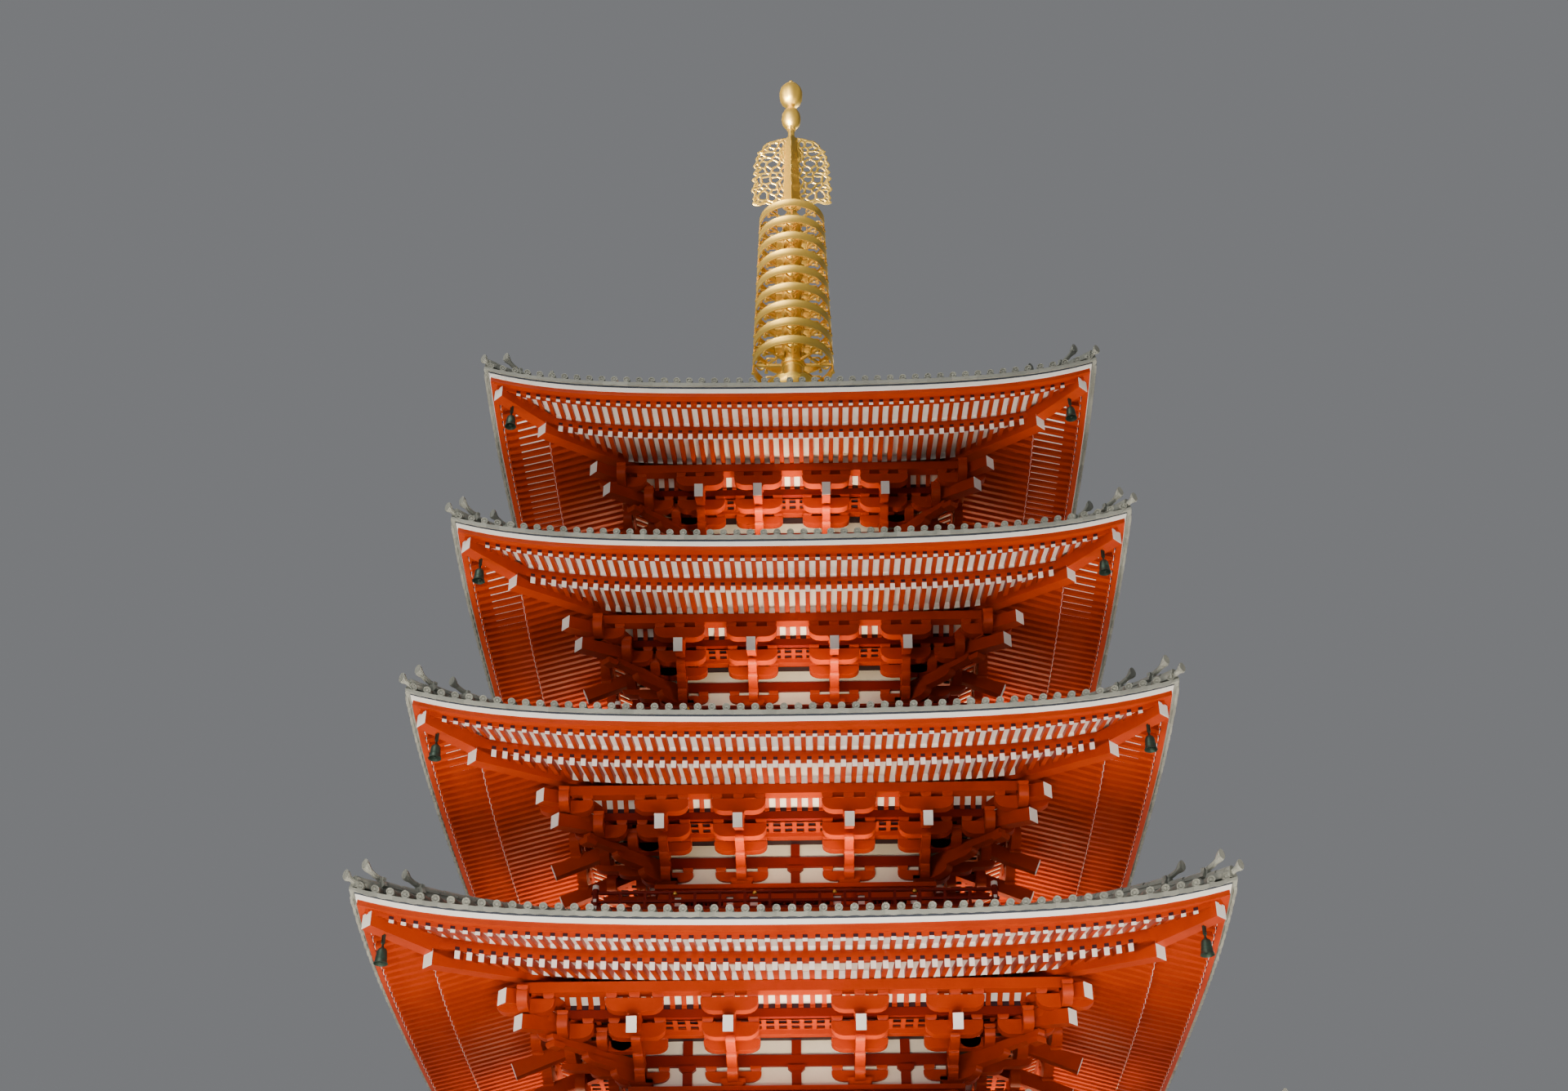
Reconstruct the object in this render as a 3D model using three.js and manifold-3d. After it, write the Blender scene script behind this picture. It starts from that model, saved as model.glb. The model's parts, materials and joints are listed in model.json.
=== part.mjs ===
// A five-storey vermilion pagoda on a stone podium, as a 1:2 scale model.
// Millimetres, +Z up, the front faces -Y, the tower's axis is X = Y = 0 and the ground is Z = 0.
// Nearly every size is a number of rafter pitches, as on the real building, where the spacing
// of the eave rafters is the module that the bays, eaves and storeys are set out with.
import * as THREE from "three";
import { mergeVertices } from "three/addons/utils/BufferGeometryUtils.js";
import Module from "manifold-3d";

const wasm = await Module();
wasm.setup();

// One rafter pitch is 260 mm on the building and half of that here.
const PITCH = 130;
const GAP = 0.3;
const WELD = 0.05;
const SIDES = 4;
const CORNERS = [45, 135, 225, 315];

// Each storey in pitches: height of the eave line at mid side, half the eave, half the body,
// half the centre bay and the top of the floor.
const STOREYS = [
  { eave: 49.0, reach: 36.9, body: 15.0, bay: 6.0, floor: 22.0 },
  { eave: 69.4, reach: 35.05, body: 13.5, bay: 5.5, floor: 58.2 },
  { eave: 89.0, reach: 33.0, body: 12.0, bay: 5.0, floor: 77.8 },
  { eave: 108.6, reach: 31.15, body: 11.0, bay: 4.0, floor: 97.4 },
  { eave: 127.8, reach: 29.85, body: 9.5, bay: 3.5, floor: 116.6 },
];
const TOP = STOREYS.length - 1;

// Eaves: how far the corners rise and the shares of a flat and a sharp curve in that rise.
const CORNER_RISE = 2.6;
const FLAT_SHARE = 0.38;
const SHARP_SHARE = 0.62;
const SHARP_POWER = 5;
const MID_STATION = 0.5;
const SHARP_STATION = 0.82;
const EAVE_STATIONS = [-1, -SHARP_STATION, -MID_STATION, MID_STATION, SHARP_STATION];

// Rafter tiers, from the eave line: flying rafters outside, base rafters inside.
const FLYING_END = 0.85;
const FLYING_BOTTOM = -1.56;
const FLYING_SLOPE = 0.24;
const BASE_END = 4.25;
const BASE_BOTTOM = -2.42;
const BASE_SLOPE = 0.28;
const DECK_THICK = 1.0;
const DECK_INSET = 0.6;
const LIFT_POWER = 1.5;
const BAND_OUT = 0.15;
const BAND_SEAT = 1.5;
const HIP_SPLIT = 4.7;
const HIP_WIDE = 1.2;

// Roof covering.
const TILE_REACH = 0.55;
const TILE_TOP = 0.65;
const TILE_THICK = 0.85;
const ROOF_FOOT_SLOPE = 0.27;
const ROOF_ROWS = [0, 0.45, 1];
const TOP_ROOF_ROWS = [0, 0.35, 0.7, 1];
const TOP_ROOF_RISE = 16.0;
const TOP_ROOF_END = 2.4;
const SKIRT_DROP = 0.3;
const RIB_SPACING = 10.05;
const RIB_HALF = 0.45;
const RIB_HIGH = 0.37;
const RIB_SINK = 0.2;
const RIB_START = 0.1;
const RIB_STOP = 0.3;
const RIB_SHORTEST = 4;
const RIDGE_START = 0.3;
const RIDGE_INSET = 0.2;
const RIDGE_SINK = 0.35;
const RIDGE_WIDE = 1.1;
const RIDGE_ROWS = [0, 0.12, 0.13, 0.5, 1];
const RIDGE_HIGH = [0.5, 0.5, 1.2, 1.1, 1.1];

// Balcony and its base frame, from the body's side.
const BALCONY_REACH = 6.3;
const SKIRT_REACH = 4.9;
const SKIRT_THICK = 0.5;
const SLAB_THICK = 0.5;
const RAIL_SIDE = 5.9;
const RAIL_TOP = 1.95;
const RAIL_MID = 1.0;
const RAIL_THICK = 0.32;
const POSTS_PER_SIDE = 2;
const POST_HALF = 0.15;
const POST_TOP = 1.85;
const CORNER_POST_HALF = 0.25;
const CORNER_POST_TOP = 2.45;
const POST_SINK = 0.1;

// Bracket zone, from the eave line.
const COLUMN_TOP = -6.4;
const TAIL_LINE = 12.35;
const TAIL_END = 10.35;
const TAIL_CENTRE = -4.65;
const TAIL_SLOPE = 0.42;
const TAIL_WIDE = 0.9;
const TAIL_HIGH = 1.5;
const ARM_HIGH = 2.0;
const PURLIN_HALF = 0.55;
const PURLIN_HIGH = 1.15;
const PURLIN_SEAT = 0.9;
const PURLIN_POST_HALF = 0.4;
const CORNER_TAIL_SLOPE = 0.2;
const CORNER_TAIL_HIGH = 1.4;
const CORNER_TAIL_WIDE = 1.1;
const UPPER_TAIL = { inset: 10.1, drop: 2.2 };
const LOWER_TAIL = { inset: 11.4, drop: 3.95 };
const CORNER_BACK = 0.5;
const CORNER_POST_INSET = 2.2;
const CORNER_POST_WIDE = 0.6;
const CORNER_ARM = [
  [2, 0],
  [-2, 1.2],
  [0, 1.4],
];

// Body.
const COLUMN_RADIUS = 0.85;
const COLUMN_SIDES = 6;
const WALL_THICK = 0.6;
const BEAM_THICK = 1.3;
const BEAM_HIGH = 0.8;
const HEAD_HALF = 1.05;
const HEAD_HIGH = 0.4;
const LINTEL_DROP = 1.0;
const CUT_DEPTH = 2;
const GROUND = { lintel: 12, sill: 0.5, windowSill: 4, jamb: 1.5, windowJamb: 1.4 };
const UPPER_WINDOW_SILL = 1.2;
const DOOR_THICK = 0.15;
const DOOR_RAIL_OUT = 0.28;
const DOOR_RAIL_IN = 0.1;
const DOOR_RAIL_HIGH = 0.8;

// Podium.
const TERRACE_HALF = 41;
const TERRACE_TOP = 19.2;
const PLINTH_HALF = 22;
const PLINTH_SINK = 1;
const COPING_OUT = 0.5;
const COPING_HIGH = 1.2;
const STEP_COUNT = 26;
const STEP_TREAD = 1.08;
const STEPS_HALF = 8;
const CHEEK_THICK = 1.6;
const CHEEK_LAP = 0.05;
const CHEEK_FOOT = 1.5;
const CHEEK_FOOT_HIGH = 1.6;
const CHEEK_HEAD = 1.0;
const CHEEK_RISE = 0.9;

// Wind bells, in millimetres.
const BELL = { radius: 72, height: 190, wall: 9, eye: 20, eyeThick: 12, pin: 8, drop: 60 };
const BELL_SHOULDER = { share: 0.72, outer: 0.18, inner: 0.2 };
const BELL_CROWN = 4;
const BELL_SIDES = 8;
const PIN_SIDES = 6;
const LUG_GAP = 5;
const LUG_THICK = 8;
const LUG_DROP = 28;
const LUG_HALF = 0.2;
const BELL_INSET = 2.1;
const BELL_PIN_DROP = 0.75;

// Spire, in pitches from the top eave line, and its profiles of [radius, height] from their own foot.
const SPIRE = {
  box: 2.9,
  boxHigh: 3.2,
  capOut: 0.5,
  capHigh: 1.0,
  capSink: 0.1,
  ringLow: 27.9,
  ringHigh: 50.8,
  rings: 9,
  radiusLow: 4.85,
  radiusHigh: 4.12,
  mast: 0.42,
  mastTop: 67.8,
};
const BOWL = [
  [0, -0.1],
  [2.9, -0.1],
  [2.7, 1.5],
  [1.6, 2.6],
  [1.2, 3.0],
  [2.6, 4.4],
  [2.6, 4.7],
  [0, 4.7],
];
const BOWL_HIGH = 4.7;
const POLE_LOW = 1.25;
const POLE_HIGH = 1.05;
const POLE_END = 1.5;
const POLE_TAPER = 3;
const RIM_DEEP = 0.4;
const RIM_HALF = 0.45;
const SPOKE_HALF = 0.18;
const SPOKE_HALF_HIGH = 0.2;
const SPOKE_INSET = 0.2;
const SPOKE_ANGLES = [15, 105];
const FLAMES = { low: 54.5, high: 11.8, inner: 0.62, foot: 4.6, thick: 0.22 };
const FLAME_BELLY = { control: [5.0, 2.5], end: [4.75, 6.2] };
const FLAME_TIP = { control: [4.2, 10.8], end: [1.1, 11.8] };
const COLLAR = { foot: 1.15, head: 0.8, lap: 0.1, play: 0.4 };
const JEWELS = [
  [0, 0],
  [0.6, 0],
  [1.25, 1.2],
  [1.25, 2.6],
  [0.6, 4.2],
  [0.9, 4.9],
  [1.6, 6.2],
  [1.2, 8.0],
  [0, 9.4],
];
const BOWL_SEGMENTS = 16;
const POLE_SEGMENTS = 8;
const RIM_SEGMENTS = 12;
const JEWEL_SEGMENTS = 12;
const FLAME_SEGMENTS = 4;

// Hip rafter, from its centre line, and the white band's lower edge.
const HIP_TIP = 0.75;
const HIP_BASE = -0.85;
const HIP_TIER_HALF = 0.7;
const HIP_TIP_FOOT = 0.75;
const HIP_BACK = 0.6;
const HIP_UNDER = 0.5;
const HIP_OVER = 0.9;
const BAND_LOW = 1.3;

// Colours: vermilion, door red, grey tile, dark bronze, gilt bronze and grey stone.
const VERMILION = 0xc8401a;
const DEEP_RED = 0x8e2414;
const TILE_GREY = 0x6f7068;
const BRONZE = 0x2f4037;
const GILT = 0xc9a23c;
const STONE = 0xa9a59c;

const at = (pitches) => pitches * PITCH;

// A three.js material with the colour and finish of one piece.
function finish(color, roughness, metalness = 0) {
  return new THREE.MeshStandardMaterial({ color, roughness, metalness });
}

const paintedTimber = finish(VERMILION, 0.5);
const darkTimber = finish(DEEP_RED, 0.55);
const greyTile = finish(TILE_GREY, 0.65);
const darkBronze = finish(BRONZE, 0.5, 0.8);
const giltBronze = finish(GILT, 0.35, 0.9);
const greyStone = finish(STONE, 0.85);

// Turns a closed geometry into a solid that can be joined and cut.
function solidOf(geometry) {
  const bare = geometry.index ? geometry.toNonIndexed() : geometry.clone();
  bare.deleteAttribute("normal");
  bare.deleteAttribute("uv");
  const merged = mergeVertices(bare, 1e-3);
  return new wasm.Manifold(
    new wasm.Mesh({
      numProp: 3,
      vertProperties: merged.attributes.position.array,
      triVerts: new Uint32Array(merged.index.array),
    }),
  );
}

// Turns a solid back into a geometry.
function geometryOf(solid) {
  const mesh = solid.asOriginal().simplify(WELD).getMesh();
  const geometry = new THREE.BufferGeometry();
  geometry.setAttribute("position", new THREE.BufferAttribute(new Float32Array(mesh.vertProperties), 3));
  geometry.setIndex(new THREE.BufferAttribute(new Uint32Array(mesh.triVerts), 1));
  geometry.computeVertexNormals();
  return geometry;
}

// Joins geometries into one body.
function joined(geometries) {
  return geometries.map(solidOf).reduce((whole, piece) => whole.add(piece));
}

// A box between two corners.
function box(x0, y0, z0, x1, y1, z1) {
  const geometry = new THREE.BoxGeometry(x1 - x0, y1 - y0, z1 - z0);
  return geometry.translate((x0 + x1) / 2, (y0 + y1) / 2, (z0 + z1) / 2);
}

// A square block on the tower's axis from its half side and its heights, in pitches.
function squareBlock(half, low, high) {
  return box(at(-half), at(-half), at(low), at(half), at(half), at(high));
}

// Turns a geometry about the tower's axis.
function turned(geometry, degrees) {
  return geometry.clone().rotateZ(THREE.MathUtils.degToRad(degrees));
}

// Four copies of each geometry, one on each side of the tower.
function onEachSide(geometries) {
  const copies = [];
  for (let side = 0; side < SIDES; side += 1) {
    for (const geometry of geometries) copies.push(turned(geometry, side * 90));
  }
  return copies;
}

// The upward curve of an eave, from 0 at mid side to 1 at a corner.
function eaveCurve(t) {
  const a = Math.abs(t);
  return FLAT_SHARE * a ** 2 + SHARP_SHARE * a ** SHARP_POWER;
}

// The eave curve as the swept pieces have it, straight from one station to the next.
function sweptCurve(t) {
  const a = Math.max(MID_STATION, Math.abs(t));
  const [from, to] = a < SHARP_STATION ? [MID_STATION, SHARP_STATION] : [SHARP_STATION, 1];
  return THREE.MathUtils.mapLinear(a, from, to, eaveCurve(from), eaveCurve(to));
}

// Sweeps a section round a square, with a copy of it at each station of a side. A station runs from -1
// at one corner to 1 at the next. A section point is [half side, height, lift] in pitches, listed
// anticlockwise with the half side to the right and the height up. The lift is the share of the
// corner rise that the point follows.
function squareRing(section, sideStations = [-1]) {
  const positions = [];
  const index = [];
  const count = section.length;
  for (let side = 0; side < SIDES; side += 1) {
    const c = Math.round(Math.cos((side * Math.PI) / 2));
    const s = Math.round(Math.sin((side * Math.PI) / 2));
    for (const t of sideStations) {
      for (const [half, z, lift = 0] of section) {
        const x = t * half;
        const y = -half;
        positions.push(at(x * c - y * s), at(x * s + y * c), at(z + lift * CORNER_RISE * eaveCurve(t)));
      }
    }
  }
  const stations = SIDES * sideStations.length;
  for (let i = 0; i < stations; i += 1) {
    const here = i * count;
    const next = ((i + 1) % stations) * count;
    for (let j = 0; j < count; j += 1) {
      const k = (j + 1) % count;
      // Both a face and the one that lies on it are split from here inside to next outside.
      if (section[j][0] >= section[k][0]) {
        index.push(here + j, next + j, here + k, next + j, next + k, here + k);
      } else {
        index.push(here + j, next + j, next + k, here + j, next + k, here + k);
      }
    }
  }
  const geometry = new THREE.BufferGeometry();
  geometry.setAttribute("position", new THREE.BufferAttribute(new Float32Array(positions), 3));
  geometry.setIndex(index);
  return geometry;
}

// A plain rectangular ring round the tower between two half sides and two heights, in pitches.
function plainRing(inner, outer, low, high) {
  return squareRing([
    [inner, low],
    [outer, low],
    [outer, high],
    [inner, high],
  ]);
}

// Extrudes an outline of [distance from the axis, height] across a width, and turns it to a direction.
// 0 degrees is the front, -Y. Every size is in pitches.
function radialPlate(outline, width, offset, degrees) {
  const shape = new THREE.Shape(outline.map(([d, z]) => new THREE.Vector2(at(d), at(z))));
  const geometry = new THREE.ExtrudeGeometry(shape, { depth: at(width), bevelEnabled: false });
  geometry.rotateX(Math.PI / 2);
  geometry.rotateZ(-Math.PI / 2);
  geometry.translate(at(offset + width / 2), 0, 0);
  return turned(geometry, degrees);
}

// Height of the rafters' underside above the eave line at a distance from the axis.
function soffit(storey, half) {
  const inward = storey.reach - half;
  return BASE_BOTTOM + BASE_SLOPE * (inward - BASE_END);
}

// Share of the corner rise that the eave deck follows at a distance from the axis.
function deckLift(storey, half) {
  const inner = storey.body - DECK_INSET;
  const share = (half - inner) / (storey.reach - inner);
  return Math.min(1, Math.max(0, share)) ** LIFT_POWER;
}

// Height of the deck's underside at mid side, where the sweep's long middle span is flat.
// The lift runs straight from the deck's inner edge to the foot of the base rafters.
function deckUnderside(storey, half) {
  const inner = storey.body - DECK_INSET;
  const split = storey.reach - BASE_END;
  const lift = (deckLift(storey, split) * (half - inner)) / (split - inner);
  return storey.eave + soffit(storey, half) + lift * CORNER_RISE * eaveCurve(MID_STATION);
}

// Where a storey's roof ends at the top: half side and height above its eave line.
function roofEnd(level) {
  if (level === TOP) return { half: TOP_ROOF_END, rise: TOP_ROOF_RISE };
  const next = STOREYS[level + 1];
  return { half: next.body + SKIRT_REACH, rise: next.floor - SLAB_THICK - STOREYS[level].eave - SKIRT_DROP };
}

// Height of the tiled surface above the eave line, and the share of the corner rise there.
function roofSurface(level, half) {
  const storey = STOREYS[level];
  const end = roofEnd(level);
  const run = storey.reach + TILE_REACH - end.half;
  const u = (storey.reach + TILE_REACH - half) / run;
  const climb = end.rise - TILE_TOP;
  const foot = (ROOF_FOOT_SLOPE * run) / climb;
  return { z: TILE_TOP + climb * (foot * u + (1 - foot) * u ** 2), lift: (1 - u) ** LIFT_POWER };
}

// The half sides where the tiled surface bends, from the eave to the roof's end.
function roofHalves(level) {
  const outer = STOREYS[level].reach + TILE_REACH;
  const rows = level === TOP ? TOP_ROOF_ROWS : ROOF_ROWS;
  return rows.map((u) => outer + (roofEnd(level).half - outer) * u);
}

// Body of a storey: posts, panels with doorways and windows cut through, sill, lintel and head beams.
function wallsOf(level) {
  const { body, bay, floor, eave } = STOREYS[level];
  const bottom = floor + GAP / PITCH;
  const top = eave + COLUMN_TOP;
  const tall = top - bottom;
  const lintel = level === 0 ? bottom + GROUND.lintel : top - LINTEL_DROP;
  const pieces = [plainRing(body - WALL_THICK / 2, body + WALL_THICK / 2, bottom, top)];
  pieces.push(plainRing(body - HEAD_HALF, body + HEAD_HALF, top - HEAD_HIGH, top));
  if (level === 0) {
    pieces.push(plainRing(body - BEAM_THICK / 2, body + BEAM_THICK / 2, lintel, lintel + BEAM_HIGH));
  }
  let solid = joined(pieces);
  const windowLow = bottom + (level === 0 ? GROUND.windowSill : UPPER_WINDOW_SILL);
  const windowHalf = (body - bay) / 2 - GROUND.windowJamb;
  const centre = (bay + body) / 2;
  const holes = [
    { x: 0, half: bay - GROUND.jamb, low: bottom + GROUND.sill },
    { x: -centre, half: windowHalf, low: windowLow },
    { x: centre, half: windowHalf, low: windowLow },
  ];
  const far = at(body + CUT_DEPTH);
  for (const { x, half, low } of holes) {
    // One cut runs through the front and the back wall, and a quarter turn on through the other two.
    const cut = box(at(x - half), -far, at(low), at(x + half), far, at(lintel));
    for (const degrees of [0, 90]) solid = solid.subtract(solidOf(turned(cut, degrees)));
  }
  const posts = [];
  for (let side = 0; side < SIDES; side += 1) {
    for (const x of [-body, -bay, bay]) {
      const post = new THREE.CylinderGeometry(at(COLUMN_RADIUS), at(COLUMN_RADIUS), at(tall), COLUMN_SIDES);
      post.rotateX(Math.PI / 2);
      post.rotateZ(Math.PI / COLUMN_SIDES);
      post.translate(at(x), at(-body), at(bottom + tall / 2));
      posts.push(turned(post, side * 90));
    }
  }
  return solid.add(joined(posts));
}

// Stepped brackets, through beams, purlins and tail rafters between the columns and the eaves.
function bracketsOf(level) {
  const storey = STOREYS[level];
  const { body, bay, reach, eave } = storey;
  const low = eave + COLUMN_TOP + GAP / PITCH;
  const line = reach - TAIL_LINE;
  const stride = (line - body) / 3;
  const under = (half) => deckUnderside(storey, half) - GAP / PITCH;
  const purlinTop = under(line + PURLIN_HALF);
  const seat = purlinTop - PURLIN_SEAT;
  const pieces = [
    plainRing(body - WALL_THICK / 2, body + WALL_THICK / 2, low, under(body + WALL_THICK / 2)),
    plainRing(line - PURLIN_HALF, line + PURLIN_HALF, purlinTop - PURLIN_HIGH, purlinTop),
  ];
  // A bracket column: stepped arms under a tail rafter, and the arm that carries the outer purlin.
  const end = reach - TAIL_END;
  const tailTop = (d) => eave + TAIL_CENTRE + TAIL_HIGH / 2 + TAIL_SLOPE * (end - d);
  const outline = [
    [body, low],
    [body + 2 * stride, low + ARM_HIGH],
    [end, tailTop(end) - TAIL_HIGH],
    [end, tailTop(end)],
    [line + PURLIN_POST_HALF, tailTop(line + PURLIN_POST_HALF)],
    [line + PURLIN_POST_HALF, seat],
    [line - PURLIN_POST_HALF, seat],
    [line - PURLIN_POST_HALF, tailTop(line - PURLIN_POST_HALF)],
    [body, tailTop(body)],
  ];
  const columns = [-body, -bay, bay, body].map((x) => radialPlate(outline, TAIL_WIDE, x, 0));
  pieces.push(...onEachSide(columns));
  for (const corner of CORNERS) pieces.push(cornerTails(storey, corner, low));
  return joined(pieces);
}

// Two diagonal tail rafters at a corner with the post between them and the arm below, as one plate.
function cornerTails(storey, degrees, low) {
  const { body, reach, eave } = storey;
  const back = body * Math.SQRT2 - CORNER_BACK;
  const upper = (reach - UPPER_TAIL.inset) * Math.SQRT2;
  const lower = (reach - LOWER_TAIL.inset) * Math.SQRT2;
  const upperAt = (d) => eave - UPPER_TAIL.drop + CORNER_TAIL_SLOPE * (upper - d);
  const lowerAt = (d) => eave - LOWER_TAIL.drop + CORNER_TAIL_SLOPE * (lower - d);
  const half = CORNER_TAIL_HIGH / 2;
  const post = lower - CORNER_POST_INSET;
  const face = post + CORNER_POST_WIDE;
  const [root, knee, arm] = CORNER_ARM;
  const outline = [
    [back, low],
    [back + root[0], low + root[1]],
    [post + knee[0], low + knee[1]],
    [post + arm[0], low + arm[1]],
    [post, lowerAt(post) - half],
    [lower, lowerAt(lower) - half],
    [lower, lowerAt(lower) + half],
    [face, lowerAt(face) + half],
    [face, upperAt(face) - half],
    [upper, upperAt(upper) - half],
    [upper, upperAt(upper) + half],
    [back, upperAt(back) + half],
  ];
  return radialPlate(outline, CORNER_TAIL_WIDE, 0, degrees);
}

// Two tiers of rafters as one deck, the white band above them, the hip rafters and the bell hooks.
function eavesOf(level) {
  const storey = STOREYS[level];
  const { body, reach, eave } = storey;
  const inner = body - DECK_INSET;
  const flyingAt = (half) => eave + FLYING_BOTTOM + FLYING_SLOPE * (reach - FLYING_END - half);
  const baseAt = (half) => eave + soffit(storey, half);
  const point = (half, z) => [half, z, deckLift(storey, half)];
  const split = reach - BASE_END;
  const section = [
    point(inner, baseAt(inner)),
    point(split, baseAt(split)),
    point(split, flyingAt(split)),
    point(reach - FLYING_END, flyingAt(reach - FLYING_END)),
    point(reach - FLYING_END, eave - BAND_LOW),
    point(reach, eave - BAND_LOW),
    point(reach + BAND_OUT, eave),
    point(reach - BAND_SEAT, eave),
    point(inner, baseAt(inner) + DECK_THICK),
  ];
  const pieces = [squareRing(section, EAVE_STATIONS)];
  for (const corner of CORNERS) pieces.push(...hipRafter(storey, corner));
  return joined(pieces);
}

// A corner's hip rafter in two tiers, with two lugs and a pin for the wind bell.
function hipRafter(storey, degrees) {
  const { body, reach, eave } = storey;
  const tip = eave + HIP_TIP;
  const base = eave + HIP_BASE;
  const split = (reach - HIP_SPLIT) * Math.SQRT2;
  const end = (reach - FLYING_END) * Math.SQRT2;
  const back = (body + HIP_BACK) * Math.SQRT2;
  const backAt = eave + soffit(storey, body + HIP_BACK);
  const hip = [
    [back, backAt - HIP_UNDER],
    [split, base - HIP_TIER_HALF],
    [split, base + HIP_TIER_HALF],
    [end, tip - HIP_TIP_FOOT],
    [end, tip + HIP_TIER_HALF],
    [back, backAt + HIP_OVER],
  ];
  const plates = [radialPlate(hip, HIP_WIDE, 0, degrees)];
  const hook = bellPlace(storey);
  const lugLow = hook.z - LUG_DROP / PITCH / 3;
  for (const hand of [-1, 1]) {
    const lug = [
      [hook.out - LUG_HALF, lugLow],
      [hook.out + LUG_HALF, lugLow],
      [hook.out + LUG_HALF, tip],
      [hook.out - LUG_HALF, tip],
    ];
    const offset = hand * (BELL.eyeThick / 2 + LUG_GAP + LUG_THICK / 2);
    plates.push(radialPlate(lug, LUG_THICK / PITCH, offset / PITCH, degrees));
  }
  const pinLong = BELL.eyeThick + 2 * (LUG_GAP + LUG_THICK);
  const pin = new THREE.CylinderGeometry(BELL.pin, BELL.pin, pinLong, PIN_SIDES);
  pin.rotateZ(Math.PI / 2);
  pin.translate(0, -at(hook.out), at(hook.z));
  plates.push(turned(pin, degrees));
  return plates;
}

// Where a bell's pin is: its distance from the axis along the diagonal, and its height, in pitches.
function bellPlace(storey) {
  return { out: (storey.reach - BELL_INSET) * Math.SQRT2, z: storey.eave - BELL_PIN_DROP };
}

// A hollow bell with a flared foot, hung on its pin by an eye plate.
function bellOf(storey, degrees) {
  const { radius, height, wall, eye, eyeThick, pin, drop } = BELL;
  const shoulder = radius * BELL_SHOULDER.share;
  const profile = [
    [0, -drop - wall - BELL_CROWN],
    [shoulder - wall, -drop - height * BELL_SHOULDER.inner],
    [radius - wall, -drop - height],
    [radius, -drop - height],
    [shoulder, -drop - height * BELL_SHOULDER.outer],
    [0, -drop],
  ];
  const shell = new THREE.LatheGeometry(profile.map(([r, z]) => new THREE.Vector2(r, z)), BELL_SIDES);
  shell.rotateX(Math.PI / 2);
  const plate = new THREE.Shape();
  plate.moveTo(-eye, -drop - wall / 2);
  plate.lineTo(eye, -drop - wall / 2);
  plate.lineTo(eye, eye);
  plate.lineTo(-eye, eye);
  const hole = new THREE.Path();
  hole.absarc(0, 0, (pin + GAP) / Math.cos(Math.PI / PIN_SIDES), 0, Math.PI * 2);
  plate.holes.push(hole);
  const hanger = new THREE.ExtrudeGeometry(plate, {
    depth: eyeThick,
    bevelEnabled: false,
    curveSegments: PIN_SIDES / 2,
  });
  hanger.rotateX(Math.PI / 2);
  hanger.rotateZ(Math.PI / 2);
  hanger.translate(-eyeThick / 2, 0, 0);
  const { out, z } = bellPlace(storey);
  return joined([shell, hanger].map((piece) => turned(piece.translate(0, -at(out), at(z)), degrees)));
}

// One roll of the tiles with three faces, along a line of [distance from the axis, height] at an offset.
function tileRoll(line, offset) {
  const positions = [];
  for (const [d, z] of line) {
    positions.push(at(offset - RIB_HALF), -at(d), at(z - RIB_SINK));
    positions.push(at(offset + RIB_HALF), -at(d), at(z - RIB_SINK));
    positions.push(at(offset), -at(d), at(z + RIB_HIGH));
  }
  const last = 3 * (line.length - 1);
  const index = [0, 1, 2, last, last + 2, last + 1];
  for (let row = 0; row < last; row += 3) {
    for (let j = 0; j < 3; j += 1) {
      const k = (j + 1) % 3;
      index.push(row + j, row + 3 + k, row + k, row + j, row + 3 + j, row + 3 + k);
    }
  }
  const geometry = new THREE.BufferGeometry();
  geometry.setAttribute("position", new THREE.BufferAttribute(new Float32Array(positions), 3));
  geometry.setIndex(index);
  return geometry;
}

// The main rolls of one side, from the eave up to the hip or to the roof's end.
function roofRibs(level) {
  const { reach, eave } = STOREYS[level];
  const foot = reach + TILE_REACH - RIB_START;
  const stop = RIB_STOP + (level === TOP ? SPIRE.box : roofEnd(level).half);
  const bends = roofHalves(level).slice(1, -1);
  const count = Math.floor((foot - RIB_SHORTEST) / RIB_SPACING);
  const ribs = [];
  for (let i = -count; i <= count; i += 1) {
    const x = i * RIB_SPACING;
    const head = Math.max(stop, Math.abs(x));
    const line = [foot, ...bends.filter((half) => half > head), head].map((half) => {
      const { z, lift } = roofSurface(level, half);
      return [half, eave + z + lift * CORNER_RISE * sweptCurve(x / half)];
    });
    ribs.push(tileRoll(line, x));
  }
  return ribs;
}

// A tiled roof shell with four corner ridges and the main rolls of its tiles.
function roofOf(level) {
  const storey = STOREYS[level];
  const { reach, eave } = storey;
  const outer = reach + TILE_REACH;
  const upper = roofHalves(level).map((half) => {
    const { z, lift } = roofSurface(level, half);
    return [half, eave + z, lift];
  });
  const lower = upper.map(([half, z, lift]) => [half, z - TILE_THICK, lift]).reverse();
  const seat = eave + GAP / PITCH;
  lower.splice(
    lower.length - 1,
    1,
    [reach - BAND_SEAT, seat, deckLift(storey, reach - BAND_SEAT)],
    [reach + BAND_OUT, seat, 1],
    [outer, seat, 1],
  );
  const section = [...upper, ...lower];
  const pieces = [squareRing(section, EAVE_STATIONS)];
  for (const corner of CORNERS) pieces.push(cornerRidge(level, corner));
  pieces.push(...onEachSide(roofRibs(level)));
  return joined(pieces);
}

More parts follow.
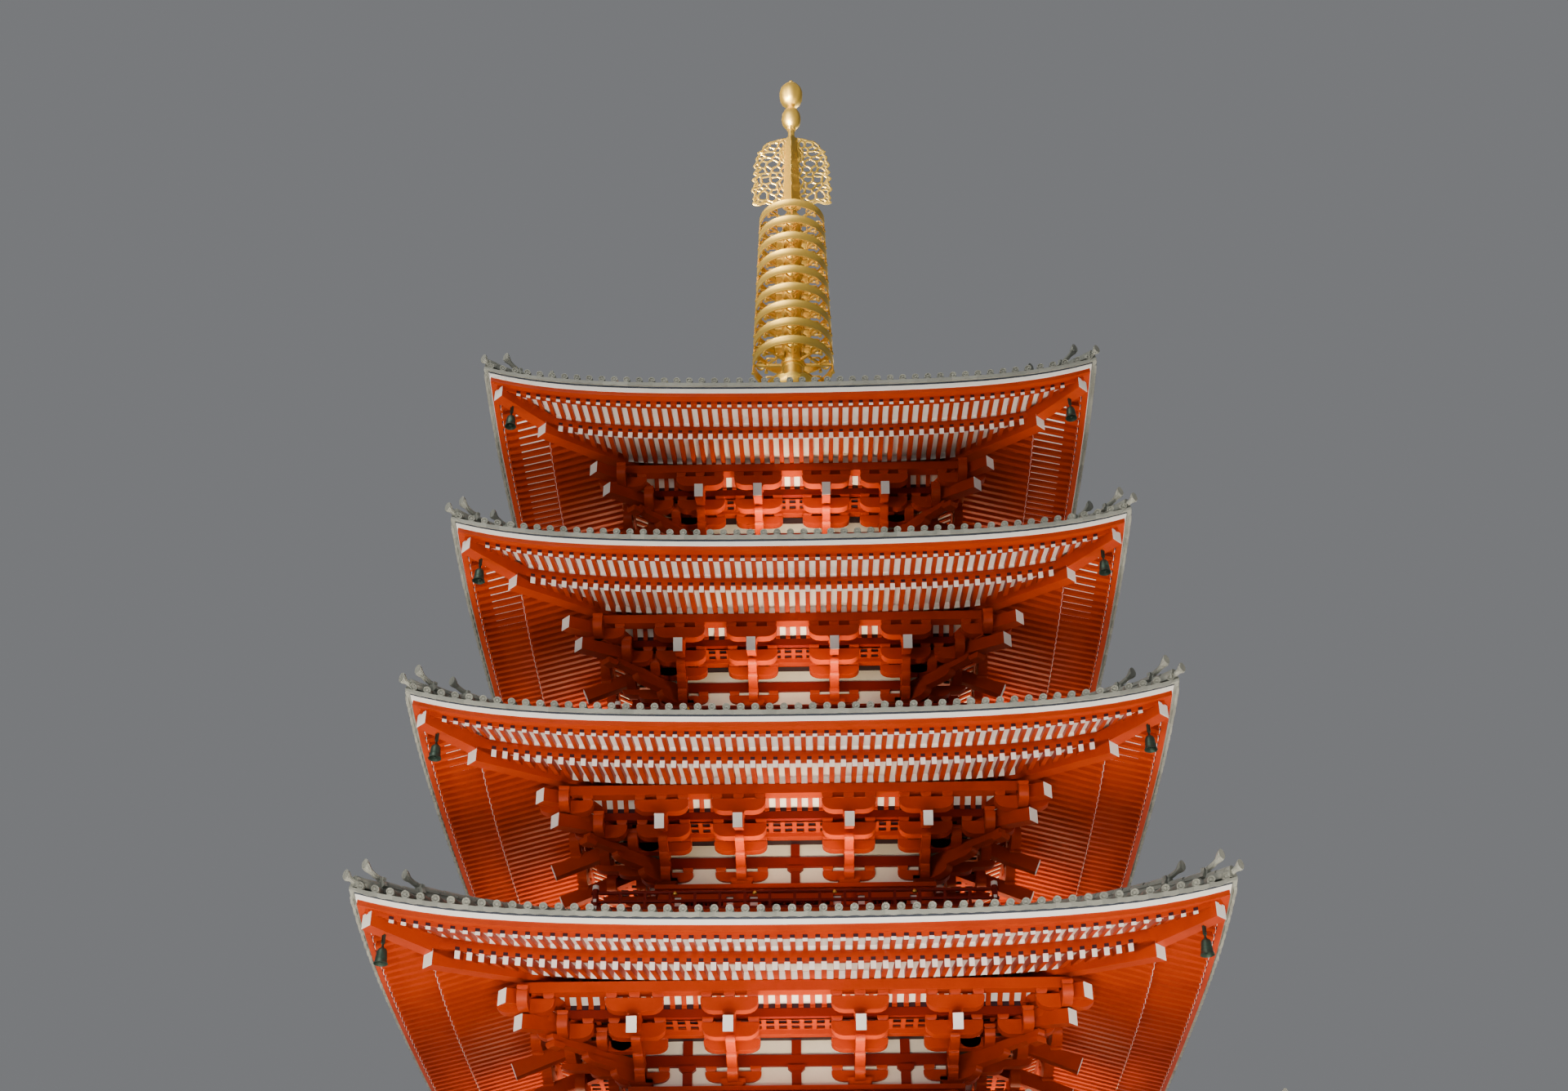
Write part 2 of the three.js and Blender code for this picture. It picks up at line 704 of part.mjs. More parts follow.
// A corner ridge that follows the hip, stepped near its foot.
function cornerRidge(level, degrees) {
  const { reach, eave } = STOREYS[level];
  const foot = reach + RIDGE_START;
  const head = RIDGE_INSET + (level === TOP ? SPIRE.box : STOREYS[level + 1].body + BALCONY_REACH);
  const line = RIDGE_ROWS.map((u, i) => {
    const half = foot + (head - foot) * u;
    const { z, lift } = roofSurface(level, half);
    return { d: half * Math.SQRT2, z: eave + z + lift * CORNER_RISE, high: RIDGE_HIGH[i] };
  });
  const outline = [
    ...line.map(({ d, z }) => [d, z - RIDGE_SINK]),
    ...line.reverse().map(({ d, z, high }) => [d, z + high]),
  ].reverse();
  return radialPlate(outline, RIDGE_WIDE, 0, degrees);
}

// Floor slab that runs out as a balcony, on a base frame, with posts and three rails.
function balconyOf(level) {
  const { body, floor } = STOREYS[level];
  const outer = body + BALCONY_REACH;
  const slab = squareBlock(outer, floor - SLAB_THICK, floor);
  const skirt = body + SKIRT_REACH;
  const foot = floor - SLAB_THICK - SKIRT_DROP + GAP / PITCH;
  const side = body + RAIL_SIDE;
  const pieces = [slab, plainRing(skirt - SKIRT_THICK, skirt, foot, floor - SLAB_THICK / 2)];
  for (const z of [RAIL_MID, RAIL_TOP]) {
    pieces.push(plainRing(side - RAIL_THICK / 2, side + RAIL_THICK / 2, floor + z - RAIL_THICK, floor + z));
  }
  const posts = [];
  const low = at(floor - POST_SINK);
  for (let i = 0; i < POSTS_PER_SIDE; i += 1) {
    const x = -side + (2 * side * i) / POSTS_PER_SIDE;
    const top = at(floor + (i === 0 ? CORNER_POST_TOP : POST_TOP));
    const half = i === 0 ? CORNER_POST_HALF : POST_HALF;
    posts.push(box(at(x - half), at(-side - half), low, at(x + half), at(-side + half), top));
  }
  pieces.push(...onEachSide(posts));
  return joined(pieces);
}

// Stone terrace with a plinth under the tower.
function podium() {
  return joined([
    squareBlock(TERRACE_HALF, 0, TERRACE_TOP),
    squareBlock(TERRACE_HALF + COPING_OUT, TERRACE_TOP - COPING_HIGH, TERRACE_TOP),
    squareBlock(PLINTH_HALF, TERRACE_TOP - PLINTH_SINK, STOREYS[0].floor),
  ]);
}

// A straight flight up the front of the terrace, between two cheek walls.
function frontSteps() {
  const start = TERRACE_HALF + COPING_OUT + GAP / PITCH;
  const riser = TERRACE_TOP / STEP_COUNT;
  const outline = [];
  for (let i = 0; i < STEP_COUNT; i += 1) {
    const nosing = start + STEP_TREAD * (STEP_COUNT - i);
    outline.push([nosing, riser * i], [nosing, riser * (i + 1)]);
  }
  outline.push([start, TERRACE_TOP], [start, 0]);
  const flight = radialPlate(outline, 2 * STEPS_HALF, 0, 0);
  const foot = start + STEP_TREAD * STEP_COUNT + CHEEK_FOOT;
  const cheek = [
    [start, 0],
    [foot, 0],
    [foot, CHEEK_FOOT_HIGH],
    [start + CHEEK_HEAD, TERRACE_TOP + CHEEK_RISE],
    [start, TERRACE_TOP + CHEEK_RISE],
  ];
  const aside = STEPS_HALF + CHEEK_THICK / 2 - CHEEK_LAP;
  const cheeks = [-aside, aside].map((x) => radialPlate(cheek, CHEEK_THICK, x, 0));
  return joined([flight, ...cheeks]);
}

// Closed double doors in a ground floor doorway, as one panel with a frame.
function doorOf(side) {
  const { body, bay, floor } = STOREYS[0];
  const bottom = floor + GROUND.sill + (2 * GAP) / PITCH;
  const top = floor + GROUND.lintel - GAP / PITCH;
  const half = bay - GROUND.jamb - GAP / PITCH;
  const leaf = box(at(-half), at(-body - DOOR_THICK), at(bottom), at(half), at(-body + DOOR_THICK), at(top));
  const [out, inside] = [at(-body - DOOR_RAIL_OUT), at(-body + DOOR_RAIL_IN)];
  const rails = [bottom, (bottom + top - DOOR_RAIL_HIGH) / 2, top - DOOR_RAIL_HIGH].map((z) =>
    box(at(-half), out, at(z), at(half), inside, at(z + DOOR_RAIL_HIGH)),
  );
  return joined([leaf, ...rails].map((piece) => turned(piece, side * 90)));
}

// A turned piece on the tower's axis from a profile of [radius, height] above its foot, in pitches.
function turnedPiece(profile, foot, segments) {
  const points = profile.map(([r, z]) => new THREE.Vector2(at(r), at(foot + z)));
  return new THREE.LatheGeometry(points, segments).rotateX(Math.PI / 2);
}

// Square base, inverted bowl and lotus under the spire.
function spireBase() {
  const low = STOREYS[TOP].eave + TOP_ROOF_RISE + GAP / PITCH;
  const top = low + SPIRE.boxHigh;
  return joined([
    squareBlock(SPIRE.box, low, top),
    squareBlock(SPIRE.box + SPIRE.capOut, top - SPIRE.capSink, top + SPIRE.capHigh),
    turnedPiece(BOWL, top + SPIRE.capHigh, BOWL_SEGMENTS),
  ]);
}

// Nine rings with four spokes each on a tapering pole.
function spireRings() {
  const eave = STOREYS[TOP].eave;
  const low = TOP_ROOF_RISE + SPIRE.boxHigh + SPIRE.capHigh + BOWL_HIGH + (2 * GAP) / PITCH;
  const pole = [
    [0, low],
    [POLE_LOW, low],
    [POLE_HIGH, SPIRE.ringHigh + POLE_END],
    [SPIRE.mast, SPIRE.ringHigh + POLE_TAPER],
    [SPIRE.mast, SPIRE.mastTop],
    [0, SPIRE.mastTop],
  ];
  const pieces = [turnedPiece(pole, eave, POLE_SEGMENTS)];
  for (let i = 0; i < SPIRE.rings; i += 1) {
    const share = i / (SPIRE.rings - 1);
    const z = eave + SPIRE.ringLow + (SPIRE.ringHigh - SPIRE.ringLow) * share;
    const radius = SPIRE.radiusLow + (SPIRE.radiusHigh - SPIRE.radiusLow) * share;
    const inner = radius - RIM_DEEP;
    const rim = [
      [inner, -RIM_HALF],
      [radius, -RIM_HALF],
      [radius, RIM_HALF],
      [inner, RIM_HALF],
      [inner, -RIM_HALF],
    ];
    pieces.push(turnedPiece(rim, z, RIM_SEGMENTS));
    const [far, wide, tall] = [at(radius - SPOKE_INSET), at(SPOKE_HALF), at(SPOKE_HALF_HIGH)];
    const spokes = box(-far, -wide, at(z) - tall, far, wide, at(z) + tall);
    for (const angle of SPOKE_ANGLES) pieces.push(turned(spokes, angle));
  }
  return joined(pieces);
}

// Four flame-shaped plates about the pole.
function spireFlames() {
  const { inner, foot, high, thick } = FLAMES;
  const low = STOREYS[TOP].eave + FLAMES.low;
  const bore = SPIRE.mast + COLLAR.play / PITCH;
  const shape = new THREE.Shape();
  shape.moveTo(at(inner), at(low));
  shape.lineTo(at(foot), at(low));
  for (const { control, end } of [FLAME_BELLY, FLAME_TIP]) {
    shape.quadraticCurveTo(at(control[0]), at(low + control[1]), at(end[0]), at(low + end[1]));
  }
  shape.lineTo(at(inner), at(low + high));
  const plate = new THREE.ExtrudeGeometry(shape, {
    depth: at(thick),
    bevelEnabled: false,
    curveSegments: FLAME_SEGMENTS,
  });
  plate.rotateX(Math.PI / 2);
  plate.translate(0, at(thick / 2), 0);
  const sleeve = [
    [bore, -COLLAR.lap],
    [COLLAR.foot, -COLLAR.lap],
    [COLLAR.head, high + COLLAR.lap],
    [bore, high + COLLAR.lap],
    [bore, -COLLAR.lap],
  ];
  return joined([turnedPiece(sleeve, low, POLE_SEGMENTS), ...onEachSide([plate])]);
}

// Ball and pointed jewel at the tip.
function spireJewels() {
  const foot = STOREYS[TOP].eave + SPIRE.mastTop + GAP / PITCH;
  return solidOf(turnedPiece(JEWELS, foot, JEWEL_SEGMENTS));
}

const pagoda = new THREE.Group();

// Adds one named mesh to the group.
function place(name, solid, material) {
  const mesh = new THREE.Mesh(geometryOf(solid), material);
  mesh.name = name;
  pagoda.add(mesh);
}

place("podium", podium(), greyStone);
place("front_steps", frontSteps(), greyStone);
["front", "right", "back", "left"].forEach((side, i) => place(`${side}_door`, doorOf(i), darkTimber));
STOREYS.forEach((storey, level) => {
  const name = `storey_${level + 1}`;
  if (level > 0) place(`${name}_balcony`, balconyOf(level), paintedTimber);
  place(`${name}_walls`, wallsOf(level), paintedTimber);
  place(`${name}_brackets`, bracketsOf(level), paintedTimber);
  place(`${name}_eaves`, eavesOf(level), paintedTimber);
  place(`${name}_roof`, roofOf(level), greyTile);
  ["front_right", "back_right", "back_left", "front_left"].forEach((corner, i) => {
    place(`${name}_bell_${corner}`, bellOf(storey, CORNERS[i]), darkBronze);
  });
});
place("spire_base", spireBase(), giltBronze);
place("spire_rings", spireRings(), giltBronze);
place("spire_flames", spireFlames(), giltBronze);
place("spire_jewels", spireJewels(), giltBronze);

export default pagoda;
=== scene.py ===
"""Looks of a five-storey pagoda, a 1:2 scale model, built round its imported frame.

Sizes are in rafter pitches, the module that the tower is set out with, and become metres when a piece is
finished. The tower's axis is X = Y = 0, the front faces -Y and the ground is Z = 0.
"""

import json
import logging
import math
from dataclasses import dataclass
from enum import Enum

import bmesh
import bpy
import numpy as np
from mathutils import Matrix, Vector
from mathutils.geometry import delaunay_2d_cdt

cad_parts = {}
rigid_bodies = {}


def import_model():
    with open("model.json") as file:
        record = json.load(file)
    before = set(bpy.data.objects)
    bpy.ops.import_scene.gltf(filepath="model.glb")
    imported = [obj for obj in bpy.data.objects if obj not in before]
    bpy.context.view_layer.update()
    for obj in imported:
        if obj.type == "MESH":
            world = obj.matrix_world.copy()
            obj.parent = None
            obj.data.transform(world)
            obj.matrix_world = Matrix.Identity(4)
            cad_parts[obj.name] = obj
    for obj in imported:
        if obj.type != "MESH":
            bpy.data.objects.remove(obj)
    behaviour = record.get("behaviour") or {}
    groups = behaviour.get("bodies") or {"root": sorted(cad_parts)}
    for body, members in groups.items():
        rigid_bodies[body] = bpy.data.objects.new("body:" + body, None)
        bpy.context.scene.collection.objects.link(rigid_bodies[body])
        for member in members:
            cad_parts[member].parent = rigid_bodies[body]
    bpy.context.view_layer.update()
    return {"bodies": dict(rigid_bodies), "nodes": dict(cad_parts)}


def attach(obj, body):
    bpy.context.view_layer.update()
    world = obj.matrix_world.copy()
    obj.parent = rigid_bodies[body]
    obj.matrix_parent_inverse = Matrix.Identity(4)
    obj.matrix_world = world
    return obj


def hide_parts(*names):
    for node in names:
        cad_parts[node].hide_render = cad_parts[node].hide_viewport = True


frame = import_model()

LOG = logging.getLogger("pagoda")
PITCH = 0.13
SIDES = 4
DIAGONAL = math.sqrt(2)
CORNERS = {"front_right": 45, "back_right": 135, "back_left": 225, "front_left": 315}
TOWER_BODY = "tower"

# Upward curve of the eaves: the corner rise and the shares of a flat and a sharp curve in it.
CORNER_RISE = 2.6
FLAT_SHARE = 0.38
SHARP_SHARE = 0.62
SHARP_POWER = 5
LIFT_POWER = 1.5

# Where the rafters' undersides run, from the eave line and the eave's half side.
FLYING_END = 0.85
FLYING_BOTTOM = -1.56
FLYING_SLOPE = 0.24
BASE_END = 4.25
BASE_BOTTOM = -2.42
BASE_SLOPE = 0.28
DECK_INSET = 0.6

# A gap at the hips for pieces that keep their own length.
NO_HIP = -99.0

# Roof covering, from the eave line.
TILE_REACH = 0.55
TILE_TOP = 0.65
ROOF_FOOT_SLOPE = 0.27
TOP_ROOF_RISE = 16.0
TOP_ROOF_END = 2.4
SKIRT_REACH = 4.9
SLAB_THICK = 0.5

# Columns and the line of the outer purlin.
COLUMN_TOP = -6.4
TAIL_LINE = 12.35
TAIL_END = 10.35
TAIL_CENTRE = -4.65
TAIL_SLOPE = 0.42
PURLIN_HALF = 0.55

Point = tuple[float, float, float]
Outline = list[tuple[float, float]]
Number = "float | np.ndarray | Wire"


class Slot(Enum):
    """Material slots of the record."""

    VERMILION = "vermilion_paint"
    DARK_RED = "dark_red_paint"
    WHITE = "white_paint"
    TILE = "grey_tile"
    DARK_BRONZE = "dark_bronze"
    GILT = "gilt_bronze"
    STONE = "grey_stone"


class Wire:
    """A node socket on which arithmetic adds Math nodes."""

    def __init__(self, graph: "Graph", socket: bpy.types.NodeSocket) -> None:
        """Keeps the socket and the graph that it belongs to."""
        self.graph = graph
        self.socket = socket

    def math(self, operation: str, *values: "float | Wire") -> "Wire":
        """Adds a Math node."""
        return self.graph.node("ShaderNodeMath", {"operation": operation}, dict(enumerate(values)))

    def __add__(self, other: "float | Wire") -> "Wire":
        """Self plus other."""
        return self.math("ADD", self, other)

    def __radd__(self, other: float) -> "Wire":
        """Other plus self."""
        return self.math("ADD", other, self)

    def __sub__(self, other: "float | Wire") -> "Wire":
        """Self minus other."""
        return self.math("SUBTRACT", self, other)

    def __rsub__(self, other: float) -> "Wire":
        """Other minus self."""
        return self.math("SUBTRACT", other, self)

    def __mul__(self, other: "float | Wire") -> "Wire":
        """Self times other."""
        return self.math("MULTIPLY", self, other)

    def __rmul__(self, other: float) -> "Wire":
        """Other times self."""
        return self.math("MULTIPLY", other, self)

    def __truediv__(self, other: "float | Wire") -> "Wire":
        """Self divided by other."""
        return self.math("DIVIDE", self, other)

    def __rtruediv__(self, other: float) -> "Wire":
        """Other divided by self."""
        return self.math("DIVIDE", other, self)

    def __pow__(self, other: "float | Wire") -> "Wire":
        """Self to a power."""
        return self.math("POWER", self, other)

    def __neg__(self) -> "Wire":
        """Self with its sign turned."""
        return self.math("MULTIPLY", self, -1.0)

    def __abs__(self) -> "Wire":
        """Self without its sign."""
        return self.math("ABSOLUTE", self)

    def __gt__(self, other: "float | Wire") -> "Wire":
        """One where self is above other, and else nothing."""
        return self.math("GREATER_THAN", self, other)

    def floor(self) -> "Wire":
        """The whole number below self."""
        return self.math("FLOOR", self)

    def fraction(self) -> "Wire":
        """What self has above a whole number."""
        return self.math("FRACT", self)


class Graph:
    """A node tree that is built by calls."""

    def __init__(self, tree: bpy.types.NodeTree) -> None:
        """Empties the tree."""
        self.tree = tree
        tree.nodes.clear()

    @staticmethod
    def find(sockets: bpy.types.NodeInputs, key: int | str) -> bpy.types.NodeSocket:
        """Finds a socket by its place, its identifier or its name.

        Args:
            sockets: A node's inputs or outputs.
            key: A place, an identifier or a name.

        Returns:
            The socket.
        """
        if isinstance(key, int):
            return sockets[key]
        for socket in sockets:
            if socket.identifier == key:
                return socket
        return next(socket for socket in sockets if socket.name == key and socket.enabled)

    def node(self, kind: str, settings: dict | None = None, values: dict | None = None,
             output: int | str = 0) -> Wire:
        """Adds a node.

        Args:
            kind: The node's type.
            settings: Its properties, set first. "stops" holds a ramp's stops as {place: colour}.
            values: A number, a vector or a wire for each socket, by place, identifier or name.
            output: Which output to give back.

        Returns:
            The output.
        """
        made = self.tree.nodes.new(kind)
        for name, value in (settings or {}).items():
            if name == "stops":
                elements = made.color_ramp.elements
                while len(elements) < len(value):
                    elements.new(0.5)
                for element, (place, colour) in zip(elements, sorted(value.items())):
                    element.position = place
                    element.color = (*colour, 1.0)
            else:
                setattr(made, name, value)
        for key, value in (values or {}).items():
            socket = self.find(made.inputs, key)
            if isinstance(value, Wire):
                self.tree.links.new(value.socket, socket)
            else:
                socket.default_value = value
        return Wire(self, self.find(made.outputs, output)) if len(made.outputs) else Wire(self, None)

    def parts(self, vector: Wire) -> tuple[Wire, Wire, Wire]:
        """Splits a vector.

        Args:
            vector: The vector.

        Returns:
            Its x, y and z.
        """
        split = self.tree.nodes.new("ShaderNodeSeparateXYZ")
        self.tree.links.new(vector.socket, split.inputs[0])
        return tuple(Wire(self, split.outputs[i]) for i in range(3))

    def joined(self, x: "float | Wire", y: "float | Wire", z: "float | Wire") -> Wire:
        """Makes a vector of three numbers."""
        return self.node("ShaderNodeCombineXYZ", {}, {0: x, 1: y, 2: z})

    def blend(self, share: "float | Wire", first: "tuple | Wire", second: "tuple | Wire") -> Wire:
        """Mixes two colours.

        Args:
            share: How much of the second.
            first: The colour at 0.
            second: The colour at 1.

        Returns:
            The mixed colour.
        """
        colours = {"A_Color": first, "B_Color": second}
        full = {k: (*v, 1.0) if isinstance(v, tuple) else v for k, v in colours.items()}
        return self.node("ShaderNodeMix", {"data_type": "RGBA"}, {"Factor_Float": share, **full},
                         "Result_Color")

    def noise(self, place: Wire, scale: float, detail: float = 2.0, rough: float = 0.5) -> Wire:
        """Noise from 0 to 1."""
        return self.node("ShaderNodeTexNoise", {"normalize": True},
                         {"Vector": place, "Scale": scale, "Detail": detail, "Roughness": rough})


def clamped(value: Number) -> Number:
    """Keeps a number, an array or a wire between 0 and 1.

    Args:
        value: What is kept.

    Returns:
        The same kind of thing.
    """
    if isinstance(value, Wire):
        return value.graph.node("ShaderNodeClamp", {}, {"Value": value})
    return np.clip(value, 0.0, 1.0)


def smaller(first: Number, second: Number) -> Number:
    """The smaller of two numbers, arrays or wires.

    Args:
        first: One.
        second: The other.

    Returns:
        The smaller one.
    """
    for value in (first, second):
        if isinstance(value, Wire):
            return value.math("MINIMUM", first, second)
    return np.minimum(first, second)


@dataclass(frozen=True)
class Slope:
    """A surface over the four sides of a storey that rises inward and lifts at the corners.

    Attributes:
        start: Half side where it starts.
        level: Its height there at mid side.
        rise: Its slope inward.
        bend: How much steeper it gets.
        lift_from: Half side at which the corners start to lift.
        lift_to: Half side at which they lift in full.
    """

    start: float
    level: float
    rise: float
    bend: float
    lift_from: float
    lift_to: float

    @classmethod
    def flat(cls, half: float, height: float) -> "Slope":
        """A level surface out to a half side."""
        return cls(half, height, 0.0, 0.0, half + 1, half + 2)

    def height(self, x: Number, half: Number) -> Number:
        """Height of the surface.

        Args:
            x: Distance along the side from its middle.
            half: Distance of the side from the tower's axis.

        Returns:
            The height, as the kind of number that came in.
        """
        inward = self.start - half
        share = clamped((half - self.lift_from) * (1 / (self.lift_to - self.lift_from)))
        across = clamped(abs(x) / half)
        curve = FLAT_SHARE * across ** 2 + SHARP_SHARE * across ** SHARP_POWER
        lift = CORNER_RISE * share ** LIFT_POWER * curve
        return self.level + self.rise * inward + self.bend * inward * inward + lift


@dataclass(frozen=True)
class Storey:
    """Driving sizes of one storey, in pitches.

    Attributes:
        number: 1 at the ground.
        eave: Height of the eave line at mid side.
        reach: Half the eave's side.
        body: Half the body's side, between post centres.
        bay: Half the centre bay.
        floor: Height of the floor.
        roof_end: Half side where the roof ends at the top.
        roof_rise: Height of the roof there above the eave line.
    """

    number: int
    eave: float
    reach: float
    body: float
    bay: float
    floor: float
    roof_end: float
    roof_rise: float

    @property
    def name(self) -> str:
        """Start of the names of this storey's nodes."""
        return f"storey_{self.number}"

    @property
    def posts(self) -> tuple[float, float, float, float]:
        """Places of the posts along a side."""
        return (-self.body, -self.bay, self.bay, self.body)

    @property
    def purlin(self) -> float:
        """Half side of the outer purlin's line."""
        return self.reach - TAIL_LINE

    @property
    def stride(self) -> float:
        """How far each of the three bracket steps goes out."""
        return (self.purlin - self.body) / 3

    @property
    def flying(self) -> Slope:
        """Underside of the flying rafters."""
        return Slope(self.reach - FLYING_END, self.eave + FLYING_BOTTOM, FLYING_SLOPE, 0.0,
                     self.body - DECK_INSET, self.reach)

    @property
    def base(self) -> Slope:
        """Underside of the base rafters."""
        return Slope(self.reach - BASE_END, self.eave + BASE_BOTTOM, BASE_SLOPE, 0.0,
                     self.body - DECK_INSET, self.reach)

    @property
    def edge(self) -> Slope:
        """The eave line, flat inward."""
        return Slope(self.reach, self.eave, 0.0, 0.0, self.body - DECK_INSET, self.reach)

    @property
    def tiles(self) -> Slope:
        """Surface of the pan tiles.

        Returns:
            The surface.
        """
        outer = self.reach + TILE_REACH
        run = outer - self.roof_end
        climb = self.roof_rise - TILE_TOP
        foot = ROOF_FOOT_SLOPE * run / climb
        return Slope(outer, self.eave + TILE_TOP, climb * foot / run, climb * (1 - foot) / run ** 2,
                     self.roof_end, outer)


def storeys() -> list[Storey]:
    """Works out the five storeys from their driving sizes.

    Returns:
        The storeys from the ground up.
    """
    sizes = [(49.0, 36.9, 15.0, 6.0, 22.0), (69.4, 35.05, 13.5, 5.5, 58.2), (89.0, 33.0, 12.0, 5.0, 77.8),
             (108.6, 31.15, 11.0, 4.0, 97.4), (127.8, 29.85, 9.5, 3.5, 116.6)]
    made = []
    for i, (eave, reach, body, bay, floor) in enumerate(sizes):
        end, rise = TOP_ROOF_END, TOP_ROOF_RISE
        if i + 1 < len(sizes):
            end = sizes[i + 1][2] + SKIRT_REACH
            rise = sizes[i + 1][4] - SLAB_THICK - eave - 0.3
        made.append(Storey(i + 1, eave, reach, body, bay, floor, end, rise))
    return made


class Form:
    """Points and faces of a piece in pitches, gathered before it becomes a mesh."""

    def __init__(self) -> None:
        """Starts empty."""
        self.points: list[np.ndarray] = []
        self.faces: list[tuple[int, ...]] = []
        self.count = 0

    def add(self, points: "list[Point] | np.ndarray", faces: list[tuple[int, ...]]) -> "Form":
        """Adds points and the faces on them.

        Args:
            points: The points.
            faces: Faces, as places in these points.

        Returns:
            The form itself.
        """
        array = np.asarray(points, float).reshape(-1, 3)
        self.faces.extend(tuple(i + self.count for i in face) for face in faces)
        self.points.append(array)
        self.count += len(array)
        return self

    def extend(self, *others: "Form") -> "Form":
        """Adds other forms.

        Args:
            others: The forms.

        Returns:
            The form itself.
        """
        for other in others:
            if other.count:
                self.add(np.vstack(other.points), other.faces)
        return self

    def moved(self, x: float = 0.0, y: float = 0.0, z: float = 0.0) -> "Form":
        """A copy that is moved."""
        return Form().add(np.vstack(self.points) + (x, y, z), self.faces)

    def turned(self, degrees: float) -> "Form":
        """A copy that is turned about the tower's axis.

        Args:
            degrees: Anticlockwise, seen from above.

        Returns:
            The copy.
        """
        c, s = math.cos(math.radians(degrees)), math.sin(math.radians(degrees))
        turn = np.array([[c, s, 0], [-s, c, 0], [0, 0, 1]])
        return Form().add(np.vstack(self.points) @ turn, self.faces)

    def lying(self, axis: str) -> "Form":
        """A copy laid on its side.

        Args:
            axis: "x" where what ran up is to run along X, and "y" where it is to run out to the front.

        Returns:
            The copy.
        """
        points = np.vstack(self.points)
        laid = points[:, (2, 0, 1)] if axis == "x" else points[:, (0, 2, 1)] * (1, -1, 1)
        return Form().add(laid, self.faces)

    def on_each_side(self) -> "Form":
        """Four copies, one on each side of the tower, as one form."""
        return Form().extend(*(self.turned(side * 90) for side in range(SIDES)))

    def on_each_corner(self) -> "Form":
        """Four copies, one at each corner of the tower, as one form."""
        return self.turned(CORNERS["front_right"]).on_each_side()

    def loft(self, rows: list[list[Point]]) -> "Form":
        """Adds a closed skin over loops of points, with a face at both ends.

        Args:
            rows: The loops, all with as many points.

        Returns:
            The form itself.
        """
        count, last = len(rows[0]), len(rows[0]) * (len(rows) - 1)
        faces = [tuple(range(count)), tuple(range(last, last + count))[::-1]]
        for row in range(0, last, count):
            faces += [(row + (i + 1) % count, row + i, row + count + i, row + count + (i + 1) % count)
                      for i in range(count)]
        return self.add([point for row in rows for point in row], faces)

    def box(self, low: Point, high: Point) -> "Form":
        """Adds a box from its lowest to its highest corner."""
        (x0, y0, z0), (x1, y1, z1) = low, high
        return self.loft([[(x0, y0, z), (x1, y0, z), (x1, y1, z), (x0, y1, z)] for z in (z0, z1)])

    def block(self, centre: Point, wide: float, high: float, foot: float = 0.72) -> "Form":
        """Adds a bearing block, a square block whose lower part draws in.

        Args:
            centre: The middle of its top.
            wide: Its side.
            high: Its height.
            foot: Share of the side at its foot.

        Returns:
            The form itself.
        """
        x, y, z = centre
        rows = []
        for share, up in ((foot, -1.0), (1.0, -0.5), (1.0, 0.0)):
            h = wide * share / 2
            rows.append([(x + a * h, y + b * h, z + up * high)
                         for a, b in ((-1, -1), (1, -1), (1, 1), (-1, 1))])
        return self.loft(rows)

    def plate(self, outline: Outline, low: float, high: float, axis: str) -> "Form":
        """Adds a plate: an outline with a thickness.

        Args:
            outline: Points as (along, up), or as (x, y) for a flat plate.
            low: Where the thickness starts on the axis.
            high: Where it ends.
            axis: "x" for a plate whose outline is (y, z), "y" for (x, z) and "z" for (x, y).

        Returns:
            The form itself.
        """
        order = {"x": (2, 0, 1), "y": (0, 2, 1), "z": (0, 1, 2)}[axis]
        flat = np.asarray(outline, float)
        return self.loft([np.column_stack([flat, np.full(len(flat), level)])[:, order]
                          for level in (low, high)])

    def turning(self, profile: Outline, segments: int, centre: Point = (0, 0, 0)) -> "Form":
        """Adds a turned piece.

        Args:
            profile: Points as (radius, height) from the bottom up, on the outside. A radius of 0 closes it.
            segments: Faces round it.
            centre: Where its axis stands.

        Returns:
            The form itself.
        """
        angles = np.arange(segments) * 2 * math.pi / segments
        points, starts, faces = [], [], []
        for radius, z in profile:
            starts.append(len(points))
            points += [(radius * math.cos(a), radius * math.sin(a), z)
                       for a in angles[:segments if radius else 1]]
        for row, (a, b) in enumerate(zip(starts, starts[1:])):
            for i in range(segments):
                k = (i + 1) % segments
                if profile[row][0] == 0:
                    faces.append((a, b + k, b + i))
                elif profile[row + 1][0] == 0:
                    faces.append((a + i, a + k, b))
                else:
                    faces.append((a + i, a + k, b + k, b + i))
        return self.add(np.asarray(points) + centre, faces)

    def ring(self, section: Outline, slope: Slope, stations: int) -> "Form":
        """Sweeps a section round the square, along a surface.

        Args:
            section: Points as (half side, height above the surface), in order round the section.
            slope: The surface.
            stations: Steps along each side.

        Returns:
            The form itself.
        """
        shares = np.sin(np.linspace(-0.5, 0.5, stations, endpoint=False) * math.pi)
        points = []
        for c, s in ((1, 0), (0, 1), (-1, 0), (0, -1)):
            for t in shares:
                for half, up in section:
                    x, y = t * half, -half
                    points.append((x * c - y * s, x * s + y * c, float(slope.height(x, half)) + up))
        count = len(section)
        total = SIDES * stations
        faces = []
        for i in range(total):
            here, there = i * count, (i + 1) % total * count
            faces += [(here + j, there + j, there + (j + 1) % count, here + (j + 1) % count)
                      for j in range(count)]
        return self.add(points, faces)

    def strip(self, inner: float, outer: float, low: float, high: float, slope: Slope,
              stations: int = 1) -> "Form":
        """Adds a board round the square, along a surface."""
        return self.ring([(inner, low), (outer, low), (outer, high), (inner, high)], slope, stations)

    def square_ring(self, inner: float, outer: float, low: float, high: float) -> "Form":
        """Adds a level beam or board round the tower, between two half sides and two heights."""
        return self.strip(inner, outer, low, high, Slope.flat(outer, 0.0))

